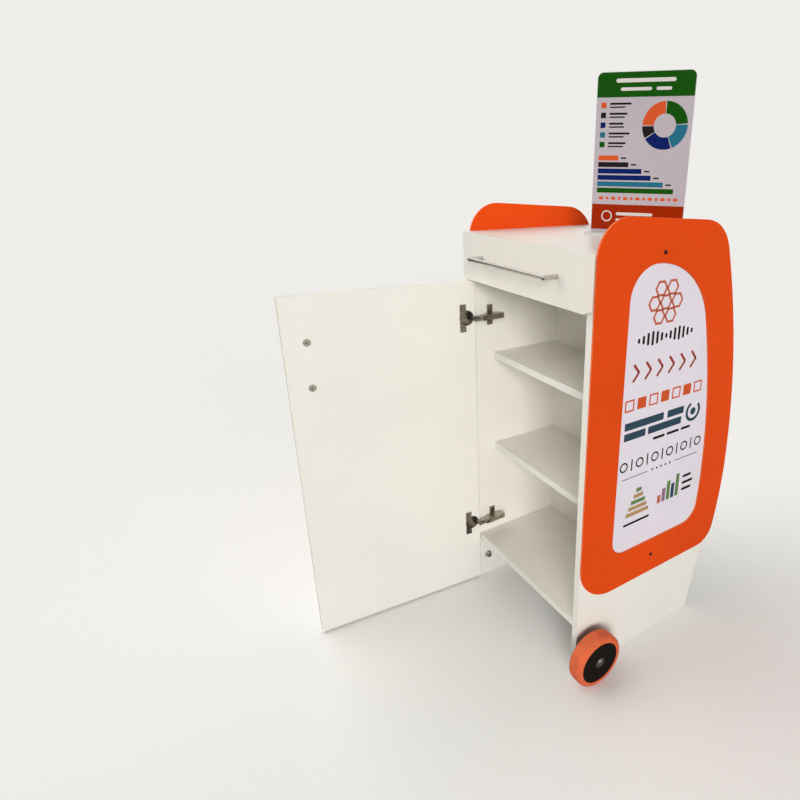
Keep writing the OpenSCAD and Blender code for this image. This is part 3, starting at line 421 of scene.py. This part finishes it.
def recipes():
    """Each finish's maker and the values it takes, from the settings."""
    scene = bpy.context.scene
    boards, sheets, metal = scene.cart_boards, scene.cart_sheets, scene.cart_metal
    wheels, sign = scene.cart_wheels, scene.cart_sign
    known = {
        "white_board": (
            board_material, dict(colour=boards.board_colour, gloss=boards.gloss, wear=0.5)),
        "front_board": (
            board_material, dict(colour=boards.front_colour, gloss=boards.gloss, wear=0.6)),
        "orange_sheet": (sheet_material, dict(look=sheets)),
        "print_ground": (print_material, dict(colour=sheets.ground_colour)),
        "clear_acrylic": (clear_material, {}),
        "opal_acrylic": (print_material, dict(colour=(0.8, 0.8, 0.795), gloss=0.2)),
        "brushed_along_x": (
            steel_material, dict(colour=metal.handle_colour, stretch=(0.03, 1.0, 1.0), rough=0.13)),
        "brushed_along_z": (
            steel_material, dict(colour=metal.handle_colour, stretch=(1.0, 1.0, 0.03), rough=0.13)),
        "nickel": (
            steel_material, dict(colour=metal.hinge_colour, stretch=(0.4, 0.4, 0.4), rough=0.2)),
        "zinc_steel": (
            steel_material, dict(colour=metal.screw_colour, stretch=(0.5, 0.5, 0.5), rough=0.24)),
        "dull_zinc": (plain_material, dict(colour=(0.67, 0.66, 0.61))),
        "dark_screw": (plain_material, dict(colour=(0.16, 0.14, 0.13))),
        # Painted shade: the near-black of the screws' cross recesses stands in for the shade in
        # those hollows
        "dark_recess": (
            plain_material, dict(colour=(0.06, 0.055, 0.05), rough=0.6, height=0.00002)),
        "dark_washer": (
            plain_material, dict(colour=(0.3, 0.28, 0.265), rough=0.3, fine_scale=700.0)),
        "orange_tyre": (wheel_material, dict(
            colour=wheels.tyre_colour, rough=0.5, pitch=0.0032, depth=0.00008,
            soil_colour=(0.6, 0.33, 0.24), soil=0.22)),
        "black_hub": (wheel_material, dict(
            colour=wheels.hub_colour, rough=0.4, pitch=0.0021, depth=0.00005,
            soil_colour=(0.34, 0.31, 0.28), soil=0.6)),
        "sign_ground": (
            print_material, dict(colour=sign.ground_colour, gloss=0.26, turn=sign.turn)),
    }
    for ink, colour in INKS.items():
        known["ink_" + ink] = (print_material, dict(colour=colour, gloss=0.24))
    return known


def material(name):
    """The finish called name, made from the settings the first time that it is wanted."""
    made = bpy.data.materials.get(name + "_finish")
    if made is None:
        maker, values = recipes()[name]
        made = maker(name, **values)
    return made


def dress(name, *nodes):
    """Gives CAD nodes a finish."""
    for each in nodes:
        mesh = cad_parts[each].data
        mesh.materials.clear()
        mesh.materials.append(material(name))


# Mesh helpers


def finished(shape, name, finishes, body):
    """Turns a bmesh into a piece at the origin that rides on a CAD body."""
    bmesh.ops.remove_doubles(shape, verts=shape.verts, dist=1e-7)
    bmesh.ops.recalc_face_normals(shape, faces=shape.faces)
    data = bpy.data.meshes.new(name)
    shape.to_mesh(data)
    shape.free()
    for each in finishes:
        data.materials.append(material(each))
    piece = bpy.data.objects.new(name, data)
    bpy.context.scene.collection.objects.link(piece)
    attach(piece, body)
    return piece


def turned_at(x, y, turn):
    return Matrix.Translation((x, y, 0)) @ Matrix.Rotation(math.radians(turn), 4, "Z")


def raised(shape, known, height, slot):
    """Gives the flat faces that aren't among the known ones a thickness along +Z and an ink."""
    made = bmesh.ops.extrude_face_region(shape, geom=[f for f in shape.faces if f not in known])
    top = [g for g in made["geom"] if isinstance(g, bmesh.types.BMVert)]
    bmesh.ops.translate(shape, verts=top, vec=(0, 0, height))
    for face in shape.faces:
        if face not in known:
            face.material_index = slot


def disc(shape, x, y, r, height, slot, sides=32):
    """Adds a disc of ink."""
    known = set(shape.faces)
    bmesh.ops.create_circle(
        shape, cap_ends=True, segments=sides, radius=r, matrix=turned_at(x, y, 0))
    raised(shape, known, height, slot)


def ring(shape, x, y, r, line, height, slot, sides=40, turn=0.0):
    """Adds a ring of ink, or an outlined polygon, of outer radius r and line width line."""
    known = set(shape.faces)
    bmesh.ops.create_circle(
        shape, cap_ends=True, segments=sides, radius=r, matrix=turned_at(x, y, turn))
    inner = [f for f in shape.faces if f not in known]
    bmesh.ops.inset_region(
        shape, faces=inner, thickness=line, use_boundary=True, use_even_offset=True)
    bmesh.ops.delete(shape, geom=inner, context="FACES")
    raised(shape, known, height, slot)


def arc(shape, x, y, outer, inner, start, sweep, height, slot):
    """Adds a part of a ring of ink, from start over sweep degrees anticlockwise."""
    known = set(shape.faces)
    ends = [shape.verts.new((x + r, y, 0)) for r in (outer, inner)]
    edge = shape.edges.new(ends)
    bmesh.ops.rotate(
        shape, verts=ends, cent=(x, y, 0), matrix=Matrix.Rotation(math.radians(start), 3, "Z"))
    bmesh.ops.spin(
        shape, geom=[*ends, edge], cent=(x, y, 0), axis=(0, 0, 1), angle=math.radians(sweep),
        steps=max(3, round(sweep / 7)))
    raised(shape, known, height, slot)


def bar(shape, x, y, wide, high, height, slot, turn=0.0, corner=0.0, top_only=False):
    """Adds a bar of ink centred on x, y, turned in degrees, with its corners, or only the upper
    two, rounded by corner."""
    known = set(shape.faces)
    made = bmesh.ops.create_grid(
        shape, x_segments=1, y_segments=1, size=0.5,
        matrix=turned_at(x, y, turn) @ Matrix.Diagonal((wide, high, 1, 1)))
    if corner:
        rounded = [v for v in made["verts"] if not top_only or v.co.y > y]
        bmesh.ops.bevel(
            shape, geom=rounded, offset=corner, affect="VERTICES", segments=6, profile=0.5,
            material=-1)
    raised(shape, known, height, slot)


def pill(shape, x, y, wide, high, height, slot, turn=0.0):
    """Adds a bar of ink with round ends."""
    bar(shape, x, y, wide, high, height, slot, turn, 0.49 * min(wide, high))


# Settings


def colour_prop(label, text, default):
    return FloatVectorProperty(
        name=label, description=text, subtype="COLOR", size=3, min=0.0, max=1.0, default=default)


class CartBoardSettings(bpy.types.PropertyGroup):
    """Finish of the melamine boards."""

    board_colour: colour_prop("Boards", "Screen colour of the boards", (0.955, 0.945, 0.915))
    front_colour: colour_prop(
        "Drawer front", "Screen colour of the drawer front", (0.94, 0.925, 0.89))
    gloss: FloatProperty(
        name="Roughness", description="Roughness of the melamine", default=0.3, min=0.05, max=1.0)


class CartSheetSettings(bpy.types.PropertyGroup):
    """Finish of the coloured side sheets and their prints."""

    face_colour: colour_prop("Face", "Screen colour of the sheets", (0.915, 0.3, 0.06))
    edge_colour: colour_prop("Edge", "Screen colour of the sawn edges", (0.95, 0.5, 0.32))
    ground_colour: colour_prop(
        "Print ground", "Screen colour of the printed film", (0.905, 0.882, 0.92))
    gloss: FloatProperty(
        name="Roughness", description="Roughness of the sheets", default=0.36, min=0.05, max=1.0)
    ink_height: FloatProperty(
        name="Film thickness", description="How far a printed motif stands proud", unit="LENGTH",
        default=0.00012, min=0.00005, max=0.0005)


class CartMetalSettings(bpy.types.PropertyGroup):
    """Colours of the metal fittings."""

    handle_colour: colour_prop("Handles", "Screen colour of the handles", (0.86, 0.84, 0.81))
    hinge_colour: colour_prop("Hinges", "Screen colour of the hinges", (0.74, 0.71, 0.66))
    screw_colour: colour_prop("Screws", "Screen colour of screws and runners", (0.88, 0.875, 0.86))


class CartWheelSettings(bpy.types.PropertyGroup):
    """Colours of the wheels, and the collars on their hubs."""

    tyre_colour: colour_prop("Tyre", "Screen colour of the tyre", (0.91, 0.43, 0.27))
    hub_colour: colour_prop("Hub", "Screen colour of the hub", (0.1, 0.085, 0.075))
    collar_radius: FloatProperty(
        name="Collar radius", description="Outer radius of the collar round the bolt's head",
        unit="LENGTH", default=0.0118, min=0.0095, max=0.02)
    collar_height: FloatProperty(
        name="Collar height", description="Height of the collar on the hub", unit="LENGTH",
        default=0.0009, min=0.0004, max=0.003)


class CartSignSettings(bpy.types.PropertyGroup):
    """The sign on the worktop."""

    ground_colour: colour_prop("Ground", "Screen colour of the printed board", (0.72, 0.69, 0.72))
    turn: FloatProperty(
        name="Turn", description="Turn of the board about the vertical", subtype="ANGLE",
        default=math.radians(35.7))
    thickness: FloatProperty(
        name="Thickness", description="Thickness of the board", unit="LENGTH", default=0.003)


class CartViewSettings(bpy.types.PropertyGroup):
    """Camera and studio."""

    eye: FloatVectorProperty(
        name="Camera", subtype="TRANSLATION", unit="LENGTH",
        description="Place of the camera from the cabinet's middle, front edge and floor",
        default=(0.93227, -0.65279, 1.04108))
    yaw: FloatProperty(
        name="Yaw", description="Turn of the camera to the left of +Y", subtype="ANGLE",
        default=math.radians(53.85))
    pitch: FloatProperty(
        name="Pitch", description="How far the camera looks down", subtype="ANGLE",
        default=math.radians(20.37))
    roll: FloatProperty(
        name="Roll", description="Roll of the camera", subtype="ANGLE", default=math.radians(0.87))
    lens: FloatProperty(
        name="Lens", description="Focal length on a 36 mm sensor", unit="CAMERA", default=25.965)
    shift_x: FloatProperty(
        name="Shift X", description="Sideways shift of the picture", default=-0.1673)
    shift_y: FloatProperty(
        name="Shift Y", description="Upward shift of the picture", default=-0.0218)
    floor_size: FloatProperty(
        name="Floor", description="Width of the floor", unit="LENGTH", default=120.0, min=4.0)
    floor_bounce: FloatProperty(
        name="Floor bounce", description="Screen brightness of the floor that lights the cart",
        default=0.72, min=0.0, max=1.0)
    floor_gleam: FloatProperty(
        name="Floor gleam", description="Screen brightness of the floor that shows in metal",
        default=0.42, min=0.0, max=1.0)
    sky_strength: FloatProperty(
        name="Room light", description="Strength of the even light from all round", default=0.15,
        min=0.0)
    gleam: FloatProperty(
        name="Gleam", description="Brightness of the room that shows in metal and gloss",
        default=0.42, min=0.0)
    backdrop: FloatProperty(
        name="Backdrop", description="Brightness of the backdrop that the camera sees",
        default=0.864, min=0.0)
    key_strength: FloatProperty(
        name="Key strength", description="Strength of the light from the right", default=1.95,
        min=0.0)
    side_strength: FloatProperty(
        name="Side strength", description="Strength of the low light from the right", default=0.67,
        min=0.0)
    fill_strength: FloatProperty(
        name="Fill strength", description="Strength of the broad light from the left",
        default=2.35, min=0.0)
    back_strength: FloatProperty(
        name="Back strength", description="Strength of the soft light from behind", default=1.1,
        min=0.0)
    top_strength: FloatProperty(
        name="Top strength", description="Strength of the soft light from above", default=0.1,
        min=0.0)


# Boards, sheets and fittings


class CART_OT_boards(bpy.types.Operator):
    """Finish the cabinet's boards, shelves, door and drawer box in melamine"""

    bl_idname = "cart.boards"
    bl_label = "Boards"

    def execute(self, context):
        dress(
            "white_board", "side_panel_left", "side_panel_right", "top_board", "bottom_board",
            "divider", "plinth", "storage_shelf_lower", "storage_shelf_upper",
            "display_shelf_lower", "display_shelf_upper", "drawer_side_left", "drawer_side_right",
            "drawer_back", "drawer_bottom", "door_panel")
        dress("front_board", "drawer_front")
        return {"FINISHED"}


class CART_OT_side_sheets(bpy.types.Operator):
    """Finish the coloured side sheets and the white film in their windows"""

    bl_idname = "cart.side_sheets"
    bl_label = "Side sheets"

    def execute(self, context):
        dress("orange_sheet", "overlay_left", "overlay_right")
        dress("print_ground", "insert_left", "insert_right")
        return {"FINISHED"}


class CART_OT_clear_parts(bpy.types.Operator):
    """Finish the bowed shield in clear acrylic and the sign's foot in opal acrylic"""

    bl_idname = "cart.clear_parts"
    bl_label = "Clear parts"

    def execute(self, context):
        dress("clear_acrylic", "shield")
        dress("opal_acrylic", "sign_foot")
        return {"FINISHED"}


class CART_OT_fittings(bpy.types.Operator):
    """Finish the handles, hinges, runners, bolts and screws"""

    bl_idname = "cart.fittings"
    bl_label = "Fittings"

    def execute(self, context):
        dress("brushed_along_x", "drawer_handle")
        dress("brushed_along_z", "door_handle")
        dress(
            "nickel", "hinge_cups", "outer_links", "inner_links", "hinge_arms", "hinge_plates",
            "plate_screws", "arm_screws", "cup_screws")
        dress(
            "zinc_steel", "runner_channel_left", "runner_channel_right", "runner_slide_left",
            "runner_slide_right", "drawer_handle_screws", "axle_bolt_left", "axle_bolt_right",
            "axle_spacers", "axle_nuts")
        dress("dull_zinc", "door_handle_screws")
        dress("dark_screw", "edge_studs", "overlay_screws")
        return {"FINISHED"}


def solid_boxes(name):
    """The lowest and highest corners of each separate solid of a CAD node."""
    shape = bmesh.new()
    shape.from_mesh(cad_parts[name].data)
    bmesh.ops.remove_doubles(shape, verts=shape.verts, dist=1e-6)
    boxes = []
    left = set(shape.verts)
    while left:
        reached = [left.pop()]
        for vert in reached:
            near = [edge.other_vert(vert) for edge in vert.link_edges]
            reached.extend(v for v in near if v in left)
            left.difference_update(near)
        boxes.append([Vector([f(v.co[i] for v in reached) for i in range(3)]) for f in (min, max)])
    shape.free()
    return boxes


def head_spots(name, face):
    """The middles of a CAD node's screw heads that look along face."""
    spots = []
    for low, high in solid_boxes(name):
        half = (high - low) / 2
        reach = sum(abs(face[i]) * half[i] for i in range(3))
        spots.append((low + high) / 2 + face * (reach - SINK))
    return spots


def broad_normal(name):
    """The normal of a flat CAD node's largest face, turned to look to the right."""
    widest = max(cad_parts[name].data.polygons, key=lambda face: face.area)
    return widest.normal.copy() if widest.normal.x > 0 else -widest.normal


def cross_recess_shade(name, body, spots, face, size):
    """Painted shade of cross recesses: dark crosses on screw heads; face is the way the heads look,
    and size is a cross's width."""
    shape = bmesh.new()
    across = Vector((0, 0, 1)).cross(face).normalized()
    axes = Matrix((across, face.cross(across), face)).transposed().to_4x4()
    for at in spots:
        known = set(shape.verts)
        # Two thin dark bars make each cross of painted recess shade
        for turn in (20, 110):
            bar(shape, 0, 0, size, size * 0.22, 2 * SINK, 0, turn, size * 0.08)
        added = [v for v in shape.verts if v not in known]
        bmesh.ops.transform(shape, matrix=Matrix.Translation(at) @ axes, verts=added)
    piece = finished(shape, name, ["dark_recess"], body)


class CART_OT_screw_marks(bpy.types.Operator):
    """Paint the shade of the cross recesses of the screws that show on the sides, on the door and
    inside
    """

    bl_idname = "cart.screw_marks"
    bl_label = "Screw recesses"

    def execute(self, context):
        for side, label in ((-1, "left"), (1, "right")):
            face = Vector((side, 0, 0))
            spots = [at for at in head_spots("overlay_screws", face) if (at.x - MID_X) * side > 0]
            cross_recess_shade("overlay_screw_marks_" + label, "cart", spots, face, size=0.0045)
        face = broad_normal("door_panel")
        spots = head_spots("door_handle_screws", face)
        cross_recess_shade("door_screw_marks", "door", spots, face, size=0.0048)
        face = Vector((1, 0, 0))
        spots = head_spots("plate_screws", face)
        cross_recess_shade("plate_screw_marks", "cart", spots, face, size=0.0044)
        return {"FINISHED"}


class CART_OT_wheels(bpy.types.Operator):
    """Finish the tyres and hubs, and add the pressed collar round each bolt head"""

    bl_idname = "cart.wheels"
    bl_label = "Wheels"

    def execute(self, context):
        look = context.scene.cart_wheels
        line = look.collar_radius - COLLAR_BORE
        dress("orange_tyre", "tyre_left", "tyre_right")
        dress("black_hub", "hub_left", "hub_right")
        for side, label in ((-1, "left"), (1, "right")):
            low, high = (Vector(c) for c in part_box("hub_" + label))
            shape = bmesh.new()
            ring(shape, 0, 0, look.collar_radius, line, look.collar_height, 0, sides=48)
            rims = [
                e for e in shape.edges if min(v.co.z for v in e.verts) > look.collar_height / 2]
            bmesh.ops.bevel(
                shape, geom=[e for e in rims if e.calc_face_angle(0) > 1], offset=0.0003,
                affect="EDGES", segments=2, profile=0.5, material=-1)
            at = (low + high) / 2
            at.x = (high if side > 0 else low).x - side * SINK
            stand = Matrix.Translation(at) @ Matrix.Rotation(side * math.pi / 2, 4, "Y")
            bmesh.ops.transform(shape, matrix=stand, verts=shape.verts)
            piece = finished(shape, "hub_collar_" + label, ["dark_washer"], "wheel_" + label)
        return {"FINISHED"}


# Side prints: a motif's middle is u along the side and z up, and t is its film's thickness


def window_middle(z):
    """The y of the bowed window's middle line at height z, from the panels' front edges."""
    widest_y, bow, widest_z = 0.2195, 0.162, 0.33
    return widest_y - bow * (z - widest_z) ** 2


def honeycomb(shape, u, z, t):
    for row, count in ((1, 2), (0, 3), (-1, 2)):
        for i in range(count):
            x = u + (i - (count - 1) / 2) * 0.0312
            ring(shape, x, z + row * 0.027, 0.0172, 0.0046, t, TERRACOTTA, sides=6, turn=30)


def stroke_wave(shape, u, z, t):
    for i, high in enumerate((10, 17, 25, 29, 25, 17, 10, 17, 25, 29, 25, 17, 10)):
        pill(shape, u + (i - 6) * 0.0124, z, 0.0062, high * MM, t, CHARCOAL)


def chevron_row(shape, u, z, t):
    for i in range(6):
        x = u + (i - 2.5) * 0.033
        for rise, turn in ((0.0085, 40), (-0.0085, -40)):
            pill(shape, x, z + rise, 0.0058, 0.025, t, WINE, turn)


def square_row(shape, u, z, t):
    for i in range(7):
        x = u + (i - 3) * 0.0335
        if i % 2:
            bar(shape, x, z, 0.024, 0.024, t, CORAL, corner=0.002)
        else:
            ring(shape, x, z, 0.0177, 0.0034, t, CORAL, sides=4, turn=45)


def bars_and_ring(shape, u, z, t):
    for x, rise, wide in (
            (-0.0585, 0.0115, 0.111), (0.0335, 0.0115, 0.05),
            (-0.084, -0.0115, 0.06), (0.0035, -0.0115, 0.1)):
        bar(shape, u + x, z + rise, wide, 0.0165, t, SLATE, corner=0.002)
    arc(shape, u + 0.09, z, 0.0235, 0.0165, 115, 290, t, SLATE)
    disc(shape, u + 0.09, z, 0.0085, t, SLATE)
    for x, wide in ((-0.012, 0.036), (0.031, 0.038), (0.071, 0.03)):
        pill(shape, u + x, z - 0.034, wide, 0.006, t, CHARCOAL)


def bead_line(shape, u, z, t):
    for i in range(11):
        x = u + (i - 5) * 0.0226
        if i % 2:
            pill(shape, x, z, 0.0036, 0.027, t, CHARCOAL)
        else:
            ring(shape, x, z, 0.0112, 0.0034, t, CHARCOAL, sides=28)
    for x in (-0.079, 0.079):
        bar(shape, u + x, z - 0.0295, 0.074, 0.0016, t, CHARCOAL)
    for i in range(5):
        disc(shape, u + (i - 2) * 0.0135, z - 0.0295, 0.0026, t, CHARCOAL, sides=16)


def small_charts(shape, u, z, t):
    steps = ((0.068, SAND), (0.055, SAND), (0.042, MOSS), (0.029, SAND), (0.016, MOSS))
    for i, (wide, ink) in enumerate(steps):
        bar(shape, u - 0.066, z - 0.017 + i * 0.0138, wide, 0.0092, t, ink, corner=0.001)
    pill(shape, u - 0.066, z - 0.0395, 0.078, 0.0056, t, CHARCOAL)
    columns = ((20, TERRACOTTA), (33, MAUVE), (47, MOSS), (37, SLATE), (56, MOSS))
    for i, (high, ink) in enumerate(columns):
        middle = z - 0.019 + high * MM / 2
        bar(shape, u + i * 0.0142, middle, 0.0106, high * MM, t, ink, corner=0.001)
    for i, wide in enumerate((0.028, 0.036, 0.032)):
        pill(shape, u + 0.073 + wide / 2, z + 0.024 - i * 0.0165, wide, 0.0066, t, CHARCOAL)


# Height above the floor and motif of each row
SIDE_ROWS = (
    (0.808, honeycomb),
    (0.741, stroke_wave),
    (0.678, chevron_row),
    (0.612, square_row),
    (0.556, bars_and_ring),
    (0.478, bead_line),
    (0.374, small_charts),
)


class CART_OT_side_prints(bpy.types.Operator):
    """Print a generic column of motifs on the white film of both sides"""

    bl_idname = "cart.side_prints"
    bl_label = "Side prints"

    def execute(self, context):
        t = context.scene.cart_sheets.ink_height + SINK
        inks = ["ink_" + name for name in INKS]
        for side, label in ((-1, "left"), (1, "right")):
            low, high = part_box("insert_" + label)
            face_x = (high if side > 0 else low)[0]
            shape = bmesh.new()
            for z, motif in SIDE_ROWS:
                motif(shape, side * window_middle(z), z, t)
            stand = Matrix((
                (0, 0, side, face_x - side * SINK), (side, 0, 0, FRONT_Y), (0, 1, 0, 0),
                (0, 0, 0, 1)))
            bmesh.ops.transform(shape, matrix=stand, verts=shape.verts)
            piece = finished(shape, "side_print_" + label, inks, "cart")
        return {"FINISHED"}


# Sign


def sign_motifs(shape, w, h, t):
    """Draws the sign's generic picture, in metres from the middle of the board's lower edge."""
    inside = w - 2 * SIGN_MARGIN
    over = 2 * t
    foot_high, head_high = 0.052, 0.0452
    bar(shape, 0, 0.032, inside, foot_high, t, BRICK)
    ring(shape, -0.064, 0.034, 0.0115, 0.0024, over, PALE)
    pill(shape, -0.005, 0.039, 0.078, 0.0062, over, PALE)
    pill(shape, -0.016, 0.027, 0.056, 0.0046, over, PALE)
    head_y = h - SIGN_MARGIN - head_high / 2
    bar(shape, 0, head_y, inside, head_high, t, GREEN, corner=0.0112, top_only=True)
    for x, down, wide, high in (
            (0, 0.016, 0.118, 0.0072), (-0.018, 0.0315, 0.062, 0.006), (0.037, 0.0315, 0.03, 0.006)):
        pill(shape, x, h - down, wide, high, over, PALE)
    start, gap = 90.0, 2.8
    for percent, ink in ((24, GREEN), (20, TEAL), (22, NAVY), (9, CHARCOAL), (25, CORAL)):
        sweep = percent * 3.6
        arc(shape, 0.044, 0.212, 0.045, 0.022, start - sweep + gap / 2, sweep - gap, t, ink)
        start -= sweep
    for i, ink in enumerate((CORAL, CHARCOAL, NAVY, TEAL, GREEN)):
        y = 0.2505 - i * 0.0185
        shorter = 0.007 * (i % 3)
        bar(shape, -0.082, y, 0.0105, 0.0105, t, ink, corner=0.001)
        pill(shape, -0.0475 - shorter / 2, y + 0.0027, 0.044 - shorter, 0.0038, t, CHARCOAL)
        pill(shape, -0.0535, y - 0.0036, 0.032, 0.0026, t, CHARCOAL)
    left = -0.088
    bars = ((42, CORAL), (64, CHARCOAL), (92, NAVY), (112, NAVY), (138, TEAL), (160, GREEN))
    for i, (long, ink) in enumerate(bars):
        y = 0.1505 - i * 0.0128
        bar(shape, left + long * MM / 2, y, long * MM, 0.0098, t, ink)
        if ink != GREEN:
            pill(shape, left + long * MM + 0.011, y, 0.012, 0.003, t, CHARCOAL)
    for i in range(13):
        pill(shape, -0.078 + i * 0.013, 0.0705, 0.0098 - 0.004 * (i % 2), 0.0062, t, CORAL)


class CART_OT_sign(bpy.types.Operator):
    """Finish the sign board and print its generic picture"""

    bl_idname = "cart.sign"
    bl_label = "Sign"

    def execute(self, context):
        look = context.scene.cart_sign
        dress("sign_ground", "sign_board")
        low, high = (Vector(c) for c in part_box("sign_board"))
        along = Vector((math.cos(look.turn), math.sin(look.turn), 0))
        ahead = Vector((math.sin(look.turn), -math.cos(look.turn), 0))
        width = (high.x - low.x - look.thickness * ahead.x) / along.x
        shape = bmesh.new()
        sign_motifs(shape, width, high.z - low.z, context.scene.cart_sheets.ink_height + SINK)
        foot = (low + high) / 2
        foot.z = low.z
        face = foot + ahead * (look.thickness / 2 - SINK)
        axes = Matrix((along, (0, 0, 1), ahead)).transposed().to_4x4()
        bmesh.ops.transform(shape, matrix=Matrix.Translation(face) @ axes, verts=shape.verts)
        piece = finished(shape, "sign_print", ["ink_" + name for name in INKS], "sign")
        return {"FINISHED"}


# Stage

# Each sun's turn to the right of -Y, its rise and its softness in degrees, and whether metal
# mirrors it
SUNS = {
    "key": (61, 18, 24, False),
    "side": (88, 6, 45, False),
    "fill": (-57, 30, 80, False),
    "back": (-148, 12, 90, True),
    "top": (50, 80, 120, True),
}


def lay_floor(look):
    """A pale floor, which lights the cart and shows in its metal less brightly than it looks."""
    shape = bmesh.new()
    bmesh.ops.create_grid(shape, x_segments=1, y_segments=1, size=look.floor_size / 2)
    data = bpy.data.meshes.new("studio_floor")
    shape.to_mesh(data)
    shape.free()
    made, tree, shader, point = start_material(
        "studio_floor", Roughness=0.9, Specular_IOR_Level=0.0)
    clouds = grouped(tree, "Mottle", point, Cloud_Scale=1.5, Fine_Scale=80.0)
    pale = blended(
        tree, maths(tree, "MULTIPLY", clouds["Cloud"], 0.3), linear((0.99, 0.99, 0.985)),
        linear((0.975, 0.975, 0.97)))
    rays = tree.nodes.new("ShaderNodeLightPath").outputs
    unseen = blended(
        tree, rays["Is Glossy Ray"], linear([look.floor_bounce] * 3),
        linear([look.floor_gleam] * 3))
    wire(tree, blended(tree, rays["Is Camera Ray"], unseen, pale), shader.inputs["Base Color"])
    data.materials.append(made)
    floor = bpy.data.objects.new("studio_floor", data)
    bpy.context.scene.collection.objects.link(floor)


def set_world(look):
    """Even light from all round, softly lit panels that only metal and gloss mirror, and the
    backdrop that only the camera sees."""
    world = bpy.data.worlds.new("studio")
    world.use_nodes = True
    tree = world.node_tree
    even = tree.nodes["Background"]
    even.inputs["Color"].default_value = (1.0, 0.99, 0.965, 1.0)
    even.inputs["Strength"].default_value = look.sky_strength
    way = tree.nodes.new("ShaderNodeTexCoord").outputs["Generated"]
    panels = node(tree, "ShaderNodeBackground", Color=(1.0, 0.99, 0.97, 1.0))
    level = spread(tree, split(tree, way)["Z"], 0.12, 0.45, look.gleam * 0.25, look.gleam * 2.4)
    wire(tree, level, panels.inputs["Strength"])
    seen = node(
        tree, "ShaderNodeBackground", Color=(1.0, 0.984, 0.95, 1.0), Strength=look.backdrop)
    rays = tree.nodes.new("ShaderNodeLightPath").outputs
    light = even.outputs[0]
    for ray, other in (("Is Glossy Ray", panels), ("Is Camera Ray", seen)):
        choice = tree.nodes.new("ShaderNodeMixShader")
        wire(tree, rays[ray], choice.inputs["Fac"])
        wire(tree, light, choice.inputs[1])
        wire(tree, other.outputs[0], choice.inputs[2])
        light = choice.outputs[0]
    wire(tree, light, tree.nodes["World Output"].inputs["Surface"])
    bpy.context.scene.world = world


def hang_lights(look):
    """Five soft suns: the three on the operator's side stay out of metal, so that the handles
    don't blow out."""
    for name, (turn, rise, softness, mirrored) in SUNS.items():
        turn, rise = math.radians(turn), math.radians(rise)
        level = math.cos(rise)
        way = Vector((math.sin(turn) * level, -math.cos(turn) * level, math.sin(rise)))
        lamp = bpy.data.lights.new(name + "_light", "SUN")
        lamp.angle = math.radians(softness)
        lamp.energy = getattr(look, name + "_strength")
        lamp.color = (1.0, 0.985, 0.955)
        piece = bpy.data.objects.new(name + "_light", lamp)
        piece.matrix_world = way.to_track_quat("Z", "Y").to_matrix().to_4x4()
        piece.visible_glossy = mirrored
        bpy.context.scene.collection.objects.link(piece)


def set_camera(look):
    """The camera of the large view, with the shift that frames it."""
    lens = bpy.data.cameras.new("camera")
    lens.sensor_width = 36.0
    lens.sensor_fit = "HORIZONTAL"
    lens.lens = look.lens
    lens.shift_x = look.shift_x
    lens.shift_y = look.shift_y
    lens.clip_start = 0.02
    lens.clip_end = 200.0
    x, y, z = look.eye
    eye = Vector((MID_X + x, FRONT_Y + y, z))
    ahead = Vector((
        -math.sin(look.yaw) * math.cos(look.pitch), math.cos(look.yaw) * math.cos(look.pitch),
        -math.sin(look.pitch)))
    level = Vector((math.cos(look.yaw), math.sin(look.yaw), 0.0))
    up = level.cross(ahead)
    right = level * math.cos(look.roll) + up * math.sin(look.roll)
    top = up * math.cos(look.roll) - level * math.sin(look.roll)
    camera = bpy.data.objects.new("camera", lens)
    axes = Matrix((right, top, -ahead)).transposed().to_4x4()
    camera.matrix_world = Matrix.Translation(eye) @ axes
    bpy.context.scene.collection.objects.link(camera)
    bpy.context.scene.camera = camera


class CART_OT_stage(bpy.types.Operator):
    """Lay the floor, set the world and the lights, and place the camera"""

    bl_idname = "cart.stage"
    bl_label = "Stage"

    def execute(self, context):
        look = context.scene.cart_view
        lay_floor(look)
        set_world(look)
        hang_lights(look)
        set_camera(look)
        context.scene.view_settings.view_transform = "Standard"
        return {"FINISHED"}


# Add-on


SETTINGS = (
    ("cart_boards", CartBoardSettings),
    ("cart_sheets", CartSheetSettings),
    ("cart_metal", CartMetalSettings),
    ("cart_wheels", CartWheelSettings),
    ("cart_sign", CartSignSettings),
    ("cart_view", CartViewSettings),
)
OPERATORS = (
    CART_OT_boards,
    CART_OT_side_sheets,
    CART_OT_side_prints,
    CART_OT_clear_parts,
    CART_OT_fittings,
    CART_OT_screw_marks,
    CART_OT_wheels,
    CART_OT_sign,
    CART_OT_stage,
)


class CART_PT_panel(bpy.types.Panel):
    """Buttons that dress the cart"""

    bl_idname = "CART_PT_panel"
    bl_label = "Display cart"
    bl_space_type = "VIEW_3D"
    bl_region_type = "UI"
    bl_category = "Cart"

    def draw(self, context):
        for each in OPERATORS:
            self.layout.operator(each.bl_idname)
        for name, _ in SETTINGS:
            box = self.layout.box()
            settings = getattr(context.scene, name)
            for key in settings.__annotations__:
                box.prop(settings, key)


def register():
    for name, kind in SETTINGS:
        bpy.utils.register_class(kind)
        setattr(bpy.types.Scene, name, PointerProperty(type=kind))
    for each in (*OPERATORS, CART_PT_panel):
        bpy.utils.register_class(each)


def unregister():
    for each in (CART_PT_panel, *reversed(OPERATORS)):
        bpy.utils.unregister_class(each)
    for name, kind in reversed(SETTINGS):
        delattr(bpy.types.Scene, name)
        bpy.utils.unregister_class(kind)


def main():
    register()
    for each in OPERATORS:
        group, name = each.bl_idname.split(".")
        getattr(getattr(bpy.ops, group), name)()


if __name__ == "__main__":
    main()
